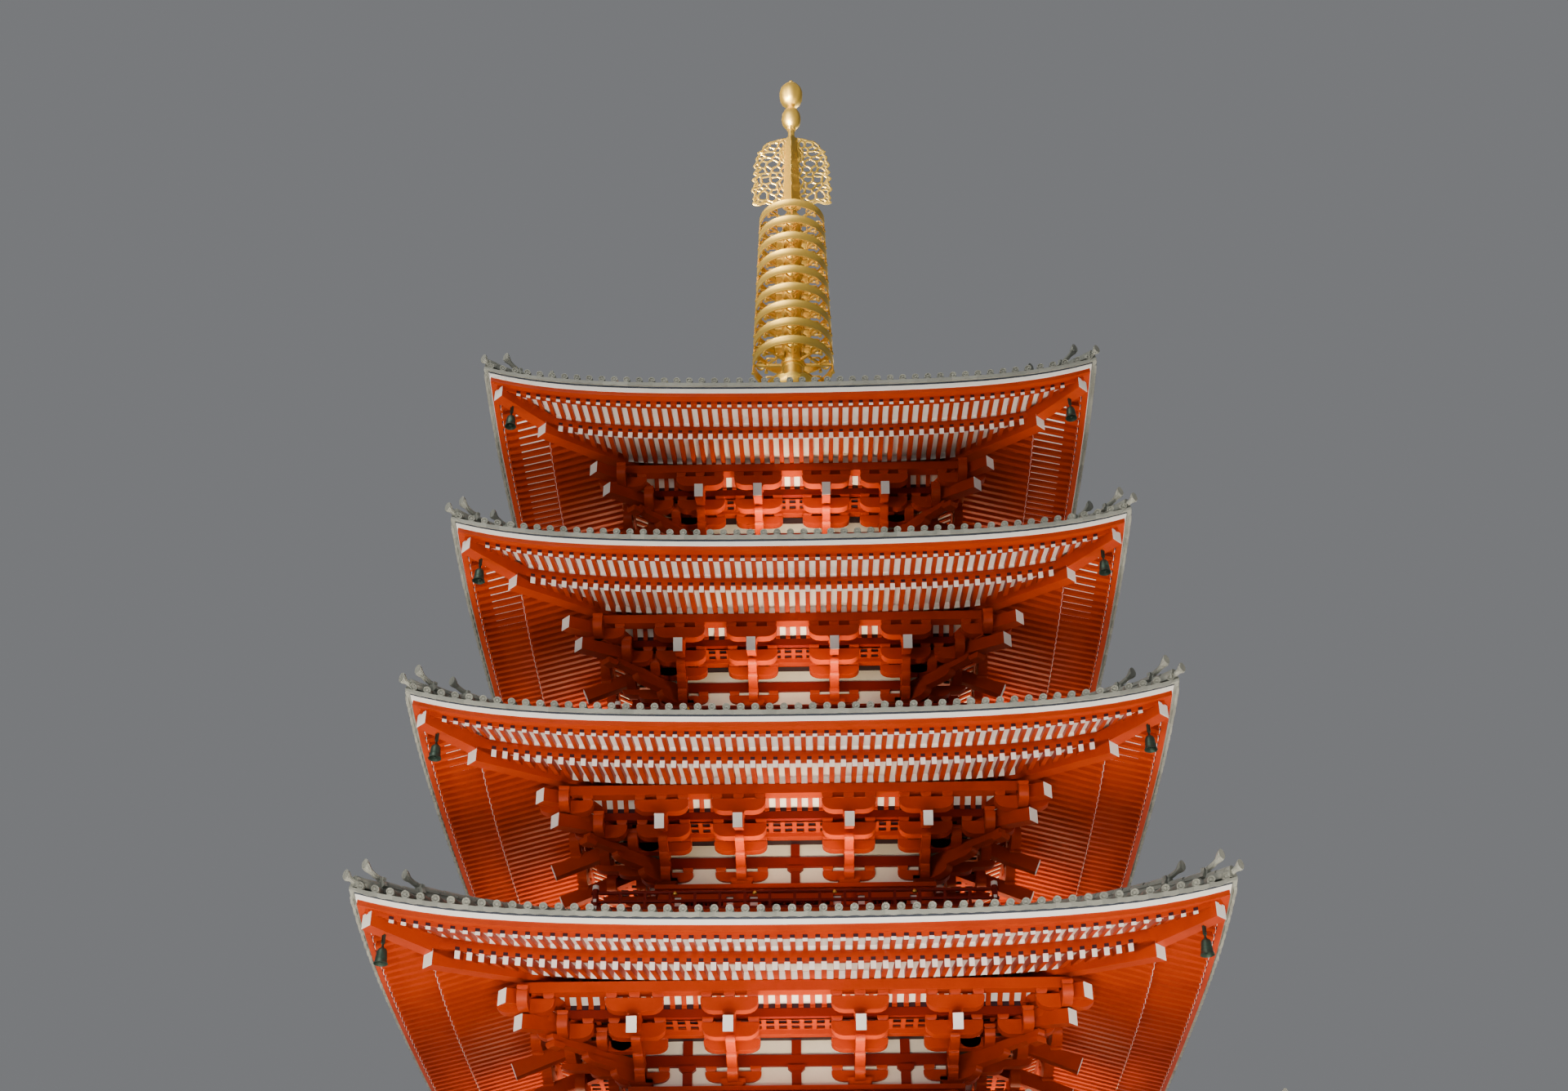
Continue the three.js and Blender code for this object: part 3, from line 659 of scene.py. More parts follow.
    def mesh(self, name: str, unit: float = PITCH) -> bpy.types.Mesh:
        """Makes the mesh, with its sides facing out and its edges sharp.

        Args:
            name: The mesh's name.
            unit: Length of a pitch in the mesh: PITCH for metres.

        Returns:
            The mesh.
        """
        mesh = bpy.data.meshes.new(name)
        mesh.from_pydata((np.vstack(self.points) * unit).tolist(), [], self.faces)
        work = bmesh.new()
        work.from_mesh(mesh)
        bmesh.ops.recalc_face_normals(work, faces=work.faces)
        work.to_mesh(mesh)
        work.free()
        shade(mesh, 35.0)
        return mesh


def shade(mesh: bpy.types.Mesh, sharp: float) -> None:
    """Shades a mesh smooth apart from its sharp edges.

    Args:
        mesh: The mesh.
        sharp: Edges that turn by more degrees stay sharp.
    """
    mesh.polygons.foreach_set("use_smooth", [True] * len(mesh.polygons))
    mesh.set_sharp_from_angle(angle=math.radians(sharp))
    mesh.update()


class PieceTree:
    """Geometry nodes that repeat or reshape a piece, make the result real and dress it."""

    NUMBERS: dict[str, str] = {}

    def __init__(self) -> None:
        """Builds the tree with its named inputs."""
        self.tree = bpy.data.node_groups.new(type(self).__name__, "GeometryNodeTree")
        face = self.tree.interface
        face.new_socket("Geometry", in_out="OUTPUT", socket_type="NodeSocketGeometry")
        for name, kind in {"Piece": "Object", "Finish": "Material", **self.NUMBERS}.items():
            face.new_socket(name, in_out="INPUT", socket_type="NodeSocket" + kind)
        self.keys = {item.name: item.identifier for item in face.items_tree if item.in_out == "INPUT"}
        graph = Graph(self.tree)
        entry = graph.node("NodeGroupInput").socket.node
        given = {socket.name: Wire(graph, socket) for socket in entry.outputs if socket.name}
        unit = graph.node("GeometryNodeObjectInfo", {}, {"Object": given["Piece"]}, "Geometry")
        real = graph.node("GeometryNodeRealizeInstances", {}, {"Geometry": self.shape(graph, unit, given)})
        dressed = graph.node("GeometryNodeSetMaterial", {}, {"Geometry": real, "Material": given["Finish"]})
        graph.node("NodeGroupOutput", {}, {"Geometry": dressed})

    def shape(self, graph: Graph, unit: Wire, given: dict[str, Wire]) -> Wire:
        """Adds the nodes that repeat or reshape the piece."""
        raise NotImplementedError

    def run(self, unit: bpy.types.Mesh, finish: "Finish", values: dict[str, float],
            sharp: float) -> bpy.types.Mesh:
        """Runs the nodes and makes what they give a plain mesh.

        Args:
            unit: The piece, in pitches.
            finish: Its finish.
            values: Numbers for the tree's other inputs.
            sharp: Edges that turn by more degrees stay sharp.

        Returns:
            The mesh, in metres.
        """
        source = bpy.data.objects.new("unit", unit)
        holder = bpy.data.objects.new("holder", bpy.data.meshes.new("holder"))
        for made in (source, holder):
            bpy.context.scene.collection.objects.link(made)
        modifier = holder.modifiers.new("nodes", "NODES")
        modifier.node_group = self.tree
        for name, value in {"Piece": source, "Finish": finish.material(), **values}.items():
            modifier[self.keys[name]] = value
        bpy.context.view_layer.update()
        graph = bpy.context.evaluated_depsgraph_get()
        mesh = bpy.data.meshes.new_from_object(holder.evaluated_get(graph), depsgraph=graph)
        holder.modifiers.clear()
        mesh.transform(Matrix.Scale(PITCH, 4))
        shade(mesh, sharp)
        for made in (source, holder):
            bpy.data.objects.remove(made)
        return mesh


class RowTree(PieceTree):
    """Repeats a piece along the four sides and lays it on a sloping surface."""

    SIZES = ("Half Width", "Outer", "Inner", "Hip Gap")
    SLOPE = ("Start", "Level", "Rise", "Bend", "Lift From", "Lift To")
    NUMBERS = {"Count": "Int", **dict.fromkeys(SIZES + SLOPE, "Float")}
    SHORTEST = 0.25

    def shape(self, graph: Graph, unit: Wire, given: dict[str, Wire]) -> Wire:
        """Sets the piece out along the front, as long as the hip lets it be, and turns the row to each side.

        Args:
            graph: The tree.
            unit: The piece.
            given: The tree's inputs.

        Returns:
            The four rows.
        """
        half, outer = given["Half Width"], given["Outer"]
        ends = {"Start Location": graph.joined(-half, -outer, 0.0),
                "Offset": graph.joined(half, -outer, 0.0)}
        line = graph.node("GeometryNodeMeshLine", {"mode": "END_POINTS"}, {"Count": given["Count"], **ends})
        place = graph.node("GeometryNodeInputPosition")
        x, y, _ = graph.parts(place)
        length = smaller(outer - given["Inner"], outer - abs(x) - given["Hip Gap"])
        row = graph.node("GeometryNodeInstanceOnPoints", {}, {
            "Points": line, "Instance": unit, "Selection": length > self.SHORTEST,
            "Scale": graph.joined(1.0, length, 1.0)})
        solid = graph.node("GeometryNodeRealizeInstances", {}, {"Geometry": row})
        slope = Slope(*(given[name] for name in self.SLOPE))
        laid = graph.node("GeometryNodeSetPosition", {}, {
            "Geometry": solid, "Offset": graph.joined(0.0, 0.0, slope.height(x, -y))})
        angle = graph.node("GeometryNodeInputIndex") * (math.pi / 2)
        turn = graph.node("FunctionNodeEulerToRotation", {}, {"Euler": graph.joined(0.0, 0.0, angle)})
        centre = graph.node("GeometryNodeMeshLine", {}, {"Count": SIDES, "Offset": (0.0, 0.0, 0.0)})
        return graph.node("GeometryNodeInstanceOnPoints", {}, {
            "Points": centre, "Instance": laid, "Rotation": turn})


@dataclass(frozen=True)
class Row:
    """A piece repeated along each side of a storey.

    Attributes:
        unit: The piece, from y = 0 at its outer end to y = 1 at its inner end.
        slope: Surface that it lies on.
        count: Pieces along a side.
        half_width: Place of the last one from the middle of the side.
        outer: Half side of the outer ends.
        inner: Half side of the inner ends, or None for pieces that keep their own length.
        hip_gap: How far from the diagonal a piece stops.
    """

    unit: Form
    slope: Slope
    count: int
    half_width: float
    outer: float
    inner: float | None = None
    hip_gap: float = 0.3

    def mesh(self, tree: RowTree, finish: "Finish", sharp: float = 35.0) -> bpy.types.Mesh:
        """Runs the geometry nodes.

        Args:
            tree: The nodes.
            finish: The finish.
            sharp: Edges that turn by more degrees stay sharp.

        Returns:
            A plain mesh, in metres.
        """
        s = self.slope
        whole = self.inner is None
        inner, gap = (self.outer - 1, NO_HIP) if whole else (self.inner, self.hip_gap)
        numbers = (self.half_width, self.outer, inner, gap, s.start, s.level, s.rise, s.bend, s.lift_from,
                   s.lift_to)
        values = {name: float(number) for name, number in zip(tree.SIZES + tree.SLOPE, numbers)}
        return tree.run(self.unit.mesh("unit", 1.0), finish, {"Count": self.count, **values}, sharp)


@dataclass(frozen=True)
class Finish:
    """What every finish has.

    Attributes:
        name: The material's name.
        slot: The record's slot that it belongs to. Not used.
        colour: Its main colour.
        shade: The colour that it varies to.
        rough: Its roughness.
        metal: Its metallic share.
        gloss: Its specular level.
    """

    name: str
    slot: Slot
    colour: tuple[float, float, float]
    shade: tuple[float, float, float]
    rough: float
    metal: float = 0.0
    gloss = 0.2

    def material(self) -> bpy.types.Material:
        """Makes the material once.

        Returns:
            The material.
        """
        known = bpy.data.materials.get(self.name)
        if known:
            return known
        made = bpy.data.materials.new(self.name)
        made.use_nodes = True
        graph = Graph(made.node_tree)
        place = graph.node("ShaderNodeTexCoord", {}, {}, "Object")
        values = {"Metallic": self.metal, "Specular IOR Level": self.gloss, **self.surface(graph, place)}
        shader = graph.node("ShaderNodeBsdfPrincipled", {}, values, "BSDF")
        graph.node("ShaderNodeOutputMaterial", {}, {"Surface": shader})
        return made

    def surface(self, graph: Graph, place: Wire) -> dict[str, "Wire | float"]:
        """What feeds the shader."""
        raise NotImplementedError

    @staticmethod
    def bump(graph: Graph, height: Wire, strength: float, distance: float) -> Wire:
        """A bumped normal."""
        values = {"Strength": strength, "Distance": distance, "Height": height}
        return graph.node("ShaderNodeBump", {}, values, "Normal")


@dataclass(frozen=True)
class Paint(Finish):
    """Brushed paint on timber, with faint grain, patches and dust on what faces up.

    Attributes:
        patches: Patches per metre.
        grain: Grain marks per metre.
        dust: Colour of the dust.
    """

    patches: float = 1.6
    grain: float = 55.0
    dust: tuple[float, float, float] = (0.30, 0.22, 0.17)

    def surface(self, graph: Graph, place: Wire) -> dict[str, "Wire | float"]:
        """Paint that fades in patches, with grain under it.

        Args:
            graph: The material's tree.
            place: Object coordinates.

        Returns:
            A wire or number for each socket.
        """
        patch = graph.noise(place, self.patches, 4.0, 0.6)
        grain = graph.noise(place, self.grain, 3.0, 0.7)
        up = graph.parts(graph.node("ShaderNodeNewGeometry", {}, {}, "Normal"))[2]
        share = clamped((patch - 0.42) * 2.6) * 0.75 + (grain - 0.5) * 0.5
        body = graph.blend(clamped(share), self.colour, self.shade)
        dusty = clamped(up - 0.35) * clamped(patch * 1.4 - 0.25)
        return {
            "Base Color": graph.blend(dusty * 0.7, body, self.dust),
            "Roughness": self.rough + (patch - 0.5) * 0.3 + dusty * 0.3,
            "Normal": self.bump(graph, grain, 0.22, 0.0012),
        }


@dataclass(frozen=True)
class Plaster(Finish):
    """Trowelled lime plaster or chalk paint."""

    def surface(self, graph: Graph, place: Wire) -> dict[str, "Wire | float"]:
        """White with faint stains and trowel marks.

        Args:
            graph: The material's tree.
            place: Object coordinates.

        Returns:
            A wire or number for each socket.
        """
        stain = graph.noise(place, 2.2, 5.0, 0.62)
        trowel = graph.noise(place, 26.0, 4.0, 0.6)
        share = clamped((stain - 0.5) * 3.0) * 0.6 + trowel * 0.12
        return {
            "Base Color": graph.blend(clamped(share), self.colour, self.shade),
            "Roughness": self.rough + (trowel - 0.5) * 0.2,
            "Normal": self.bump(graph, trowel, 0.25, 0.0015),
        }


@dataclass(frozen=True)
class Tile(Finish):
    """Grey roof tiles laid in courses, each of its own tone.

    Attributes:
        course: Length of a tile up the slope, in metres.
        wide: Width of a tile, in metres.
        stain: Colour of rain stains.
    """

    course: float = 0.17
    wide: float = 0.16
    stain: tuple[float, float, float] = (0.10, 0.105, 0.09)

    def surface(self, graph: Graph, place: Wire) -> dict[str, "Wire | float"]:
        """Courses that step down the slope, with a tone for each tile.

        Args:
            graph: The material's tree.
            place: Object coordinates.

        Returns:
            A wire or number for each socket.
        """
        x, y, z = graph.parts(place)
        half = x.math("MAXIMUM", abs(x), abs(y))
        along = smaller(abs(x), abs(y))
        row = half * (1 / self.course)
        column = (along * (1 / self.wide)).floor()
        spot = graph.joined(row.floor(), column, (x > y) + z.floor())
        tone = graph.node("ShaderNodeTexWhiteNoise", {"noise_dimensions": "3D"}, {"Vector": spot}, "Value")
        fine = graph.noise(place, 42.0, 3.0, 0.6)
        streak = graph.noise(place, 3.0, 5.0, 0.6)
        lap = row.fraction()
        joint = clamped((lap - 0.9) * 14.0)
        share = clamped(tone * 0.65 + (fine - 0.5) * 0.5)
        body = graph.blend(share, self.colour, self.shade)
        stained = graph.blend(clamped((streak - 0.52) * 3.0) * 0.55 + joint * 0.45, body, self.stain)
        return {
            "Base Color": stained,
            "Roughness": self.rough + (tone - 0.5) * 0.22,
            "Normal": self.bump(graph, 1.0 - lap + fine * 0.08, 0.6, 0.008),
        }


@dataclass(frozen=True)
class Metal(Finish):
    """Cast bronze, bare or gilt, with a patina in its hollows.

    Attributes:
        patina: Share of the surface that the second colour takes.
        patches: Patches per metre.
    """

    patina: float = 0.4
    patches: float = 9.0

    def surface(self, graph: Graph, place: Wire) -> dict[str, "Wire | float"]:
        """Metal with patches of patina that are duller.

        Args:
            graph: The material's tree.
            place: Object coordinates.

        Returns:
            A wire or number for each socket.
        """
        patch = graph.noise(place, self.patches, 5.0, 0.65)
        fine = graph.noise(place, 60.0, 3.0, 0.6)
        share = clamped((patch + (fine - 0.5) * 0.25 - (1.0 - self.patina)) * 5.0)
        return {
            "Base Color": graph.blend(share, self.colour, self.shade),
            "Metallic": self.metal - share * (self.metal * 0.5),
            "Roughness": self.rough + share * 0.25 + (fine - 0.5) * 0.12,
            "Normal": self.bump(graph, patch * 0.6 + fine * 0.4, 0.3, 0.002),
        }


@dataclass(frozen=True)
class Stone(Finish):
    """Dressed granite with a speckle and weather stains."""

    def surface(self, graph: Graph, place: Wire) -> dict[str, "Wire | float"]:
        """Speckled grey, darker where rain runs.

        Args:
            graph: The material's tree.
            place: Object coordinates.

        Returns:
            A wire or number for each socket.
        """
        speckle = graph.noise(place, 130.0, 2.0, 0.8)
        weather = graph.noise(place, 1.4, 6.0, 0.62)
        share = clamped((weather - 0.45) * 2.4) * 0.7 + (speckle - 0.5) * 1.1
        return {
            "Base Color": graph.blend(clamped(share), self.colour, self.shade),
            "Roughness": self.rough + (speckle - 0.5) * 0.15,
            "Normal": self.bump(graph, speckle * 0.5 + weather * 0.5, 0.35, 0.003),
        }


VERMILION = Paint("vermilion paint", Slot.VERMILION, (0.40, 0.034, 0.0015), (0.27, 0.018, 0.001), 0.45)
# Vermilion darkened to about half, for parts that sit in shade: painted shade.
SHADED_VERMILION = Paint("vermilion with painted shade", Slot.DARK_RED, (0.19, 0.010, 0.003), (0.12, 0.006, 0.002), 0.5)
CHALK = Plaster("chalk white paint", Slot.WHITE, (0.86, 0.84, 0.79), (0.70, 0.65, 0.57), 0.6)
LIME = Plaster("lime plaster", Slot.WHITE, (0.80, 0.75, 0.68), (0.64, 0.57, 0.49), 0.8)
GREY_TILE = Tile("grey roof tile", Slot.TILE, (0.29, 0.30, 0.26), (0.18, 0.19, 0.17), 0.5)
# The tile seat is near-black: a real board, darkened partly as painted shadow under the eave tiles.
SLATE = Paint("tile seat", Slot.TILE, (0.045, 0.055, 0.075), (0.03, 0.035, 0.05), 0.5)
# Near-black finish for boards and boxes that stand where there is only shade: painted shadow.
PAINTED_SHADOW_BOARD = Paint("painted shadow board", Slot.DARK_RED, (0.030, 0.010, 0.016), (0.020, 0.008, 0.013), 0.6)
BRONZE = Metal("dark bronze", Slot.DARK_BRONZE, (0.055, 0.085, 0.065), (0.10, 0.21, 0.16), 0.45, 0.75)
GILT = Metal("gilt bronze", Slot.GILT, (0.80, 0.53, 0.10), (0.54, 0.34, 0.06), 0.45, 1.0, 0.28, 14.0)
GRANITE = Stone("dressed granite", Slot.STONE, (0.46, 0.44, 0.40), (0.27, 0.26, 0.235), 0.78)


def piece(name: str, finish: Finish, parts: "list[Form | bpy.types.Mesh]", body: str = TOWER_BODY,
          replaces: tuple[str, ...] = ()) -> bpy.types.Object:
    """Joins parts as one finished piece, and fixes it to its body.

    Args:
        name: The piece's name.
        finish: Its finish.
        parts: Forms or meshes.
        body: The body that it rides on.
        replaces: Nodes that it stands for.

    Returns:
        The piece.
    """
    work = bmesh.new()
    for part in parts:
        mesh = part.mesh("part") if isinstance(part, Form) else part
        work.from_mesh(mesh)
        bpy.data.meshes.remove(mesh)
    joined = bpy.data.meshes.new(name)
    work.to_mesh(joined)
    work.free()
    joined.materials.clear()
    joined.materials.append(finish.material())
    made = bpy.data.objects.new(name, joined)
    bpy.context.scene.collection.objects.link(made)
    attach(made, body)
    if replaces:
        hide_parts(*replaces)
    LOG.info("%s: %d faces", name, len(joined.polygons))
    return made


def hung_outline(half: float, high: float, reach: float, steps: int = 4) -> Outline:
    """Outline of a bracket arm: flat on top, with lower corners that curve up.

    Args:
        half: Half its length.
        high: Its height.
        reach: How far along the curve runs.
        steps: Points on each curve.

    Returns:
        Points as (along, up) below a top at 0.
    """
    right = []
    for i in range(steps + 1):
        a = i / steps * math.pi / 2
        right.append((half - reach + reach * math.sin(a), -high + 0.72 * high * (1 - math.cos(a))))
    left = [(-x, z) for x, z in reversed(right)]
    return left + right + [(half, 0.0), (-half, 0.0)]


def arm_across(x: float, half: float, top: float, length: float, high: float, thick: float) -> Form:
    """A bracket arm along the side."""
    outline = [(x + a, top + z) for a, z in hung_outline(length, high, min(1.1, length * 0.6))]
    return Form().plate(outline, -half - thick / 2, -half + thick / 2, "y")


def arm_outward(x: float, start: float, end: float, top: float, high: float, thick: float) -> Form:
    """A bracket arm that runs out from the wall.

    Args:
        x: Its place along the side.
        start: Half side where it starts.
        end: Half side where it ends, in a curve.
        top: Height of its top.
        high: Its height.
        thick: Its thickness.

    Returns:
        The arm.
    """
    curve = [point for point in hung_outline(end, high, 1.1) if point[0] > 0]
    outline = [(-a, top + z) for a, z in [(start, -high), *curve, (start, 0.0)]]
    return Form().plate(outline, x - thick / 2, x + thick / 2, "x")


@dataclass
class Eaves:
    """Two tiers of rafters with their boards, and the hip rafters that carry the wind bells.

    Attributes:
        storey: The storey.
        rows: Geometry nodes that repeat the rafters.
        flying_size: Width and height of a flying rafter.
        base_size: Width and height of a base rafter.
        hip_wide: Width of a hip rafter.
        hip_high: Height of a hip rafter.
        hip_split: How far in from the eave the lower tier of a hip rafter ends.
        hip_tip: Height of the upper tier's end, from the eave line.
        hip_base: Height of the lower tier's end.
        cap: Thickness of the white paint on a rafter's end.
        stations: Steps of the curve along each side.
        flying_first: How far from the corner the first flying rafter lies.
        base_first: How far from the corner the first base rafter lies.
        base_cut: How far in from the eave the base rafters end.
        flying_run: How far in from the eave the flying rafters start.
        step_in: How far in from the eave the lower step of the eave board lies.
        band_low: Foot of the white band, from the eave line.
        upper_low: Foot of the eave board's upper step.
        lower_low: Foot of its lower step.
        strip_out: How far the strip between the tiers stands out.
        plank: Width of the planks over the rafters' ends.
        strip_high: Top of the strip, from the base rafters' underside.
    """

    storey: Storey
    rows: RowTree
    flying_size: tuple[float, float] = (0.39, 0.44)
    base_size: tuple[float, float] = (0.43, 0.69)
    hip_wide: float = 1.2
    hip_high: float = 1.4
    hip_split: float = 4.7
    hip_tip: float = 0.75
    hip_base: float = -0.85
    cap: float = 0.02
    stations: int = 28
    flying_first: float = 2.85
    base_first: float = 6.6
    base_cut: float = 5.3
    flying_run: float = 6.1
    step_in: float = 0.72
    band_low: float = -0.45
    upper_low: float = -0.9
    lower_low: float = -1.29
    strip_out: float = 0.2
    plank: float = 1.2
    strip_high: float = 1.66

    @property
    def split(self) -> float:
        """Half side of the base rafters' ends."""
        return self.storey.reach - self.base_cut

    def rafter_unit(self, size: tuple[float, float], steps: int) -> Form:
        """One rafter, a unit long, with steps so that it can follow a curve.

        Args:
            size: Its width and height.
            steps: Steps along it.

        Returns:
            The rafter.
        """
        half, high = size[0] / 2, size[1]
        section = [(-half, 0), (half, 0), (half, high), (-half, high)]
        return Form().loft([[(x, float(y), z) for x, z in section] for y in np.linspace(0, 1, steps + 1)])

    def row(self, unit: Form, slope: Slope, first: float, outer: float, inner: float | None) -> Row:
        """Pieces one pitch apart along each side."""
        half = self.storey.reach - first
        return Row(unit, slope, round(2 * half) + 1, half, outer, inner)

    def flying_row(self, unit: Form, outer: float, inner: float | None = None) -> Row:
        """A row at the flying rafters' places."""
        return self.row(unit, self.storey.flying, self.flying_first, outer, inner)

    def base_row(self, unit: Form, outer: float, inner: float | None = None) -> Row:
        """A row at the base rafters' places."""
        return self.row(unit, self.storey.base, self.base_first, outer, inner)

    def rafters(self) -> list[bpy.types.Mesh]:
        """Both tiers of rafters.

        Returns:
            The flying and the base rafters.
        """
        s = self.storey
        flying = self.flying_row(self.rafter_unit(self.flying_size, 1), s.reach - FLYING_END,
                                 s.reach - self.flying_run)
        base = self.base_row(self.rafter_unit(self.base_size, 3), self.split, s.body - DECK_INSET)
        return [flying.mesh(self.rows, VERMILION), base.mesh(self.rows, VERMILION)]

    def end_caps(self) -> list[bpy.types.Mesh]:
        """White paint on the rafters' ends.

        Returns:
            The paint on the flying and on the base rafters.
        """
        made = []
        for size, row, outer in ((self.flying_size, self.flying_row, self.storey.reach - FLYING_END),
                                 (self.base_size, self.base_row, self.split)):
            half = size[0] / 2 + 0.005
            unit = Form().box((-half, 0, -0.005), (half, 0.03, size[1]))
            made.append(row(unit, outer + self.cap).mesh(self.rows, CHALK))
        return made

    def rafter_end_shadows(self) -> list[bpy.types.Mesh]:
        """Dark boxes on the boards over the rafters' ends: painted shadow in place of the recess over each
        end.

        Returns:
            The painted shadows of the upper and of the lower tier.
        """
        half = self.flying_size[0] / 2
        places = ((0.29, 0.56, self.flying_row, self.storey.reach - self.step_in + 0.02),
                  (0.72, 1.02, self.base_row, self.split + self.strip_out + 0.02))
        return [row(Form().box((-half, 0, low), (half, 0.3, high)), outer).mesh(self.rows, PAINTED_SHADOW_BOARD)
                for low, high, row, outer in places]

    def infill(self) -> Form:
        """White boards between the rafters, over the strip and over the outer purlin.

        Returns:
            The boards.
        """
        s = self.storey
        made = Form()
        for outer, high, slope in ((self.split - 0.2, self.flying_size[1], s.flying),
                                   (s.purlin + PURLIN_HALF - 0.1, self.base_size[1], s.base)):
            made.strip(outer - 0.15, outer, 0, high, slope, self.stations)
        return made

    def soffits(self) -> Form:
        """White boards over both tiers of rafters.

        Returns:
            The boards.
        """
        s = self.storey
        high = self.flying_size[1]
        outer, inner = s.reach - FLYING_END - self.plank, s.reach - self.flying_run
        made = Form().strip(inner, outer, high, high + 0.2, s.flying, self.stations)
        high = self.base_size[1]
        rows = np.linspace(s.body - DECK_INSET, self.split - self.plank, 6)
        section = [(float(half), high) for half in rows] + [(float(half), high + 0.2) for half in rows[::-1]]
        return made.ring(section, s.base, self.stations)

    def boards(self) -> Form:
        """The stepped eave board, the planks over the rafters' ends and the strip between the tiers.

        Returns:
            The boards.
        """
        s = self.storey
        tip = s.reach - FLYING_END
        made = Form()
        for inner, outer, low, high, slope in (
                (s.reach - 1.6, s.reach - 0.08, self.upper_low, self.band_low, s.edge),
                (tip - 0.12, s.reach - self.step_in, self.lower_low, self.upper_low, s.edge),
                (tip - self.plank - 0.02, tip - 0.1, self.flying_size[1] - 0.01, self.flying_size[1] + 0.19,
                 s.flying),
                (self.split - self.plank - 0.02, self.split - 0.1, self.base_size[1] - 0.01,
                 self.base_size[1] + 0.19, s.base)):
            made.strip(inner, outer, low, high, slope, self.stations)
        inner, outer = self.split - 0.22, self.split + self.strip_out
        low, high = self.base_size[1], self.strip_high
        section = [(inner, low), (outer, low), (outer, high - 0.5), (self.split - 0.1, high), (inner, high)]
        return made.ring(section, s.base, self.stations)

    def white_band(self) -> Form:
        """The white board at the eave's edge.

        Returns:
            The board.
        """
        s = self.storey
        low = self.band_low
        section = [(s.reach - 1.4, low), (s.reach + 0.04, low), (s.reach + 0.14, -0.07),
                   (s.reach - 1.4, -0.07)]
        return Form().ring(section, s.edge, self.stations)

    def hips(self, white: bool) -> Form:
        """Hip rafters of the corners in two tiers, or the white paint on their ends.

        Args:
            white: Whether the paint is made and not the timber.

        Returns:
            The timber or the paint.
        """
        s = self.storey
        half, high = self.hip_wide / 2, self.hip_high / 2
        tip, base = s.eave + self.hip_tip, s.eave + self.hip_base
        end, split, back = s.reach - FLYING_END, s.reach - self.hip_split, s.body + 0.6
        under = float(s.base.height(0.0, back))
        made = Form()
        for outer, z, inner, inner_z in ((end, tip, split - 1.5, base + 1.0),
                                         (split, base, back, under + 0.2)):
            out, root = outer * DIAGONAL, inner * DIAGONAL
            if white:
                made.box((-half, -out - 0.03, z - high),
                         (half, -out + 0.02, min(z + high, self.end_top(outer))))
            else:
                outline = [(-out, z - high), (-root, inner_z - high), (-root, inner_z + high),
                           (-out, z + high)]
                made.plate(outline, -half, half, "x")
        return made.on_each_corner()

    def end_top(self, half: float) -> float:
        """Height up to which a hip rafter's end shows under the eave board."""
        return float(self.storey.edge.height(half, half)) + self.lower_low + 0.1

    def bell_hooks(self) -> Form:
        """Two lugs and a pin at each corner, that the wind bells hang on.

        Returns:
            The four hooks.
        """
        out, z = bell_place(self.storey)
        pin, thick = WindBell.pin, WindBell.lug_thick / 2
        made = Form().turning([(0, -0.14), (pin, -0.14), (pin, 0.14), (0, 0.14)], 10)
        made = made.lying("x").moved(0, -out, z)
        for x in (-WindBell.lug_place, WindBell.lug_place):
            made.box((x - thick, -out - 0.1, z - 0.1), (x + thick, -out + 0.1, self.storey.eave + 0.6))
        return made.on_each_corner()

    def build(self) -> None:
        """Makes the timber and the white parts."""
        name = self.storey.name
        piece(f"{name}_rafters", VERMILION, [*self.rafters(), self.boards(), self.hips(False)],
              replaces=(f"{name}_eaves",))
        piece(f"{name}_white_boards", CHALK,
              [*self.end_caps(), self.soffits(), self.infill(), self.white_band(), self.hips(True)])
        # Near-black boxes over the rafters' ends: painted shadow.
        piece(f"{name}_board_notches", PAINTED_SHADOW_BOARD, self.rafter_end_shadows())
        piece(f"{name}_bell_hooks", BRONZE, [self.bell_hooks()])


def bell_place(storey: Storey) -> tuple[float, float]:
    """Where a wind bell's pin is."""
    return (storey.reach - 2.1) * DIAGONAL, storey.eave - 0.75


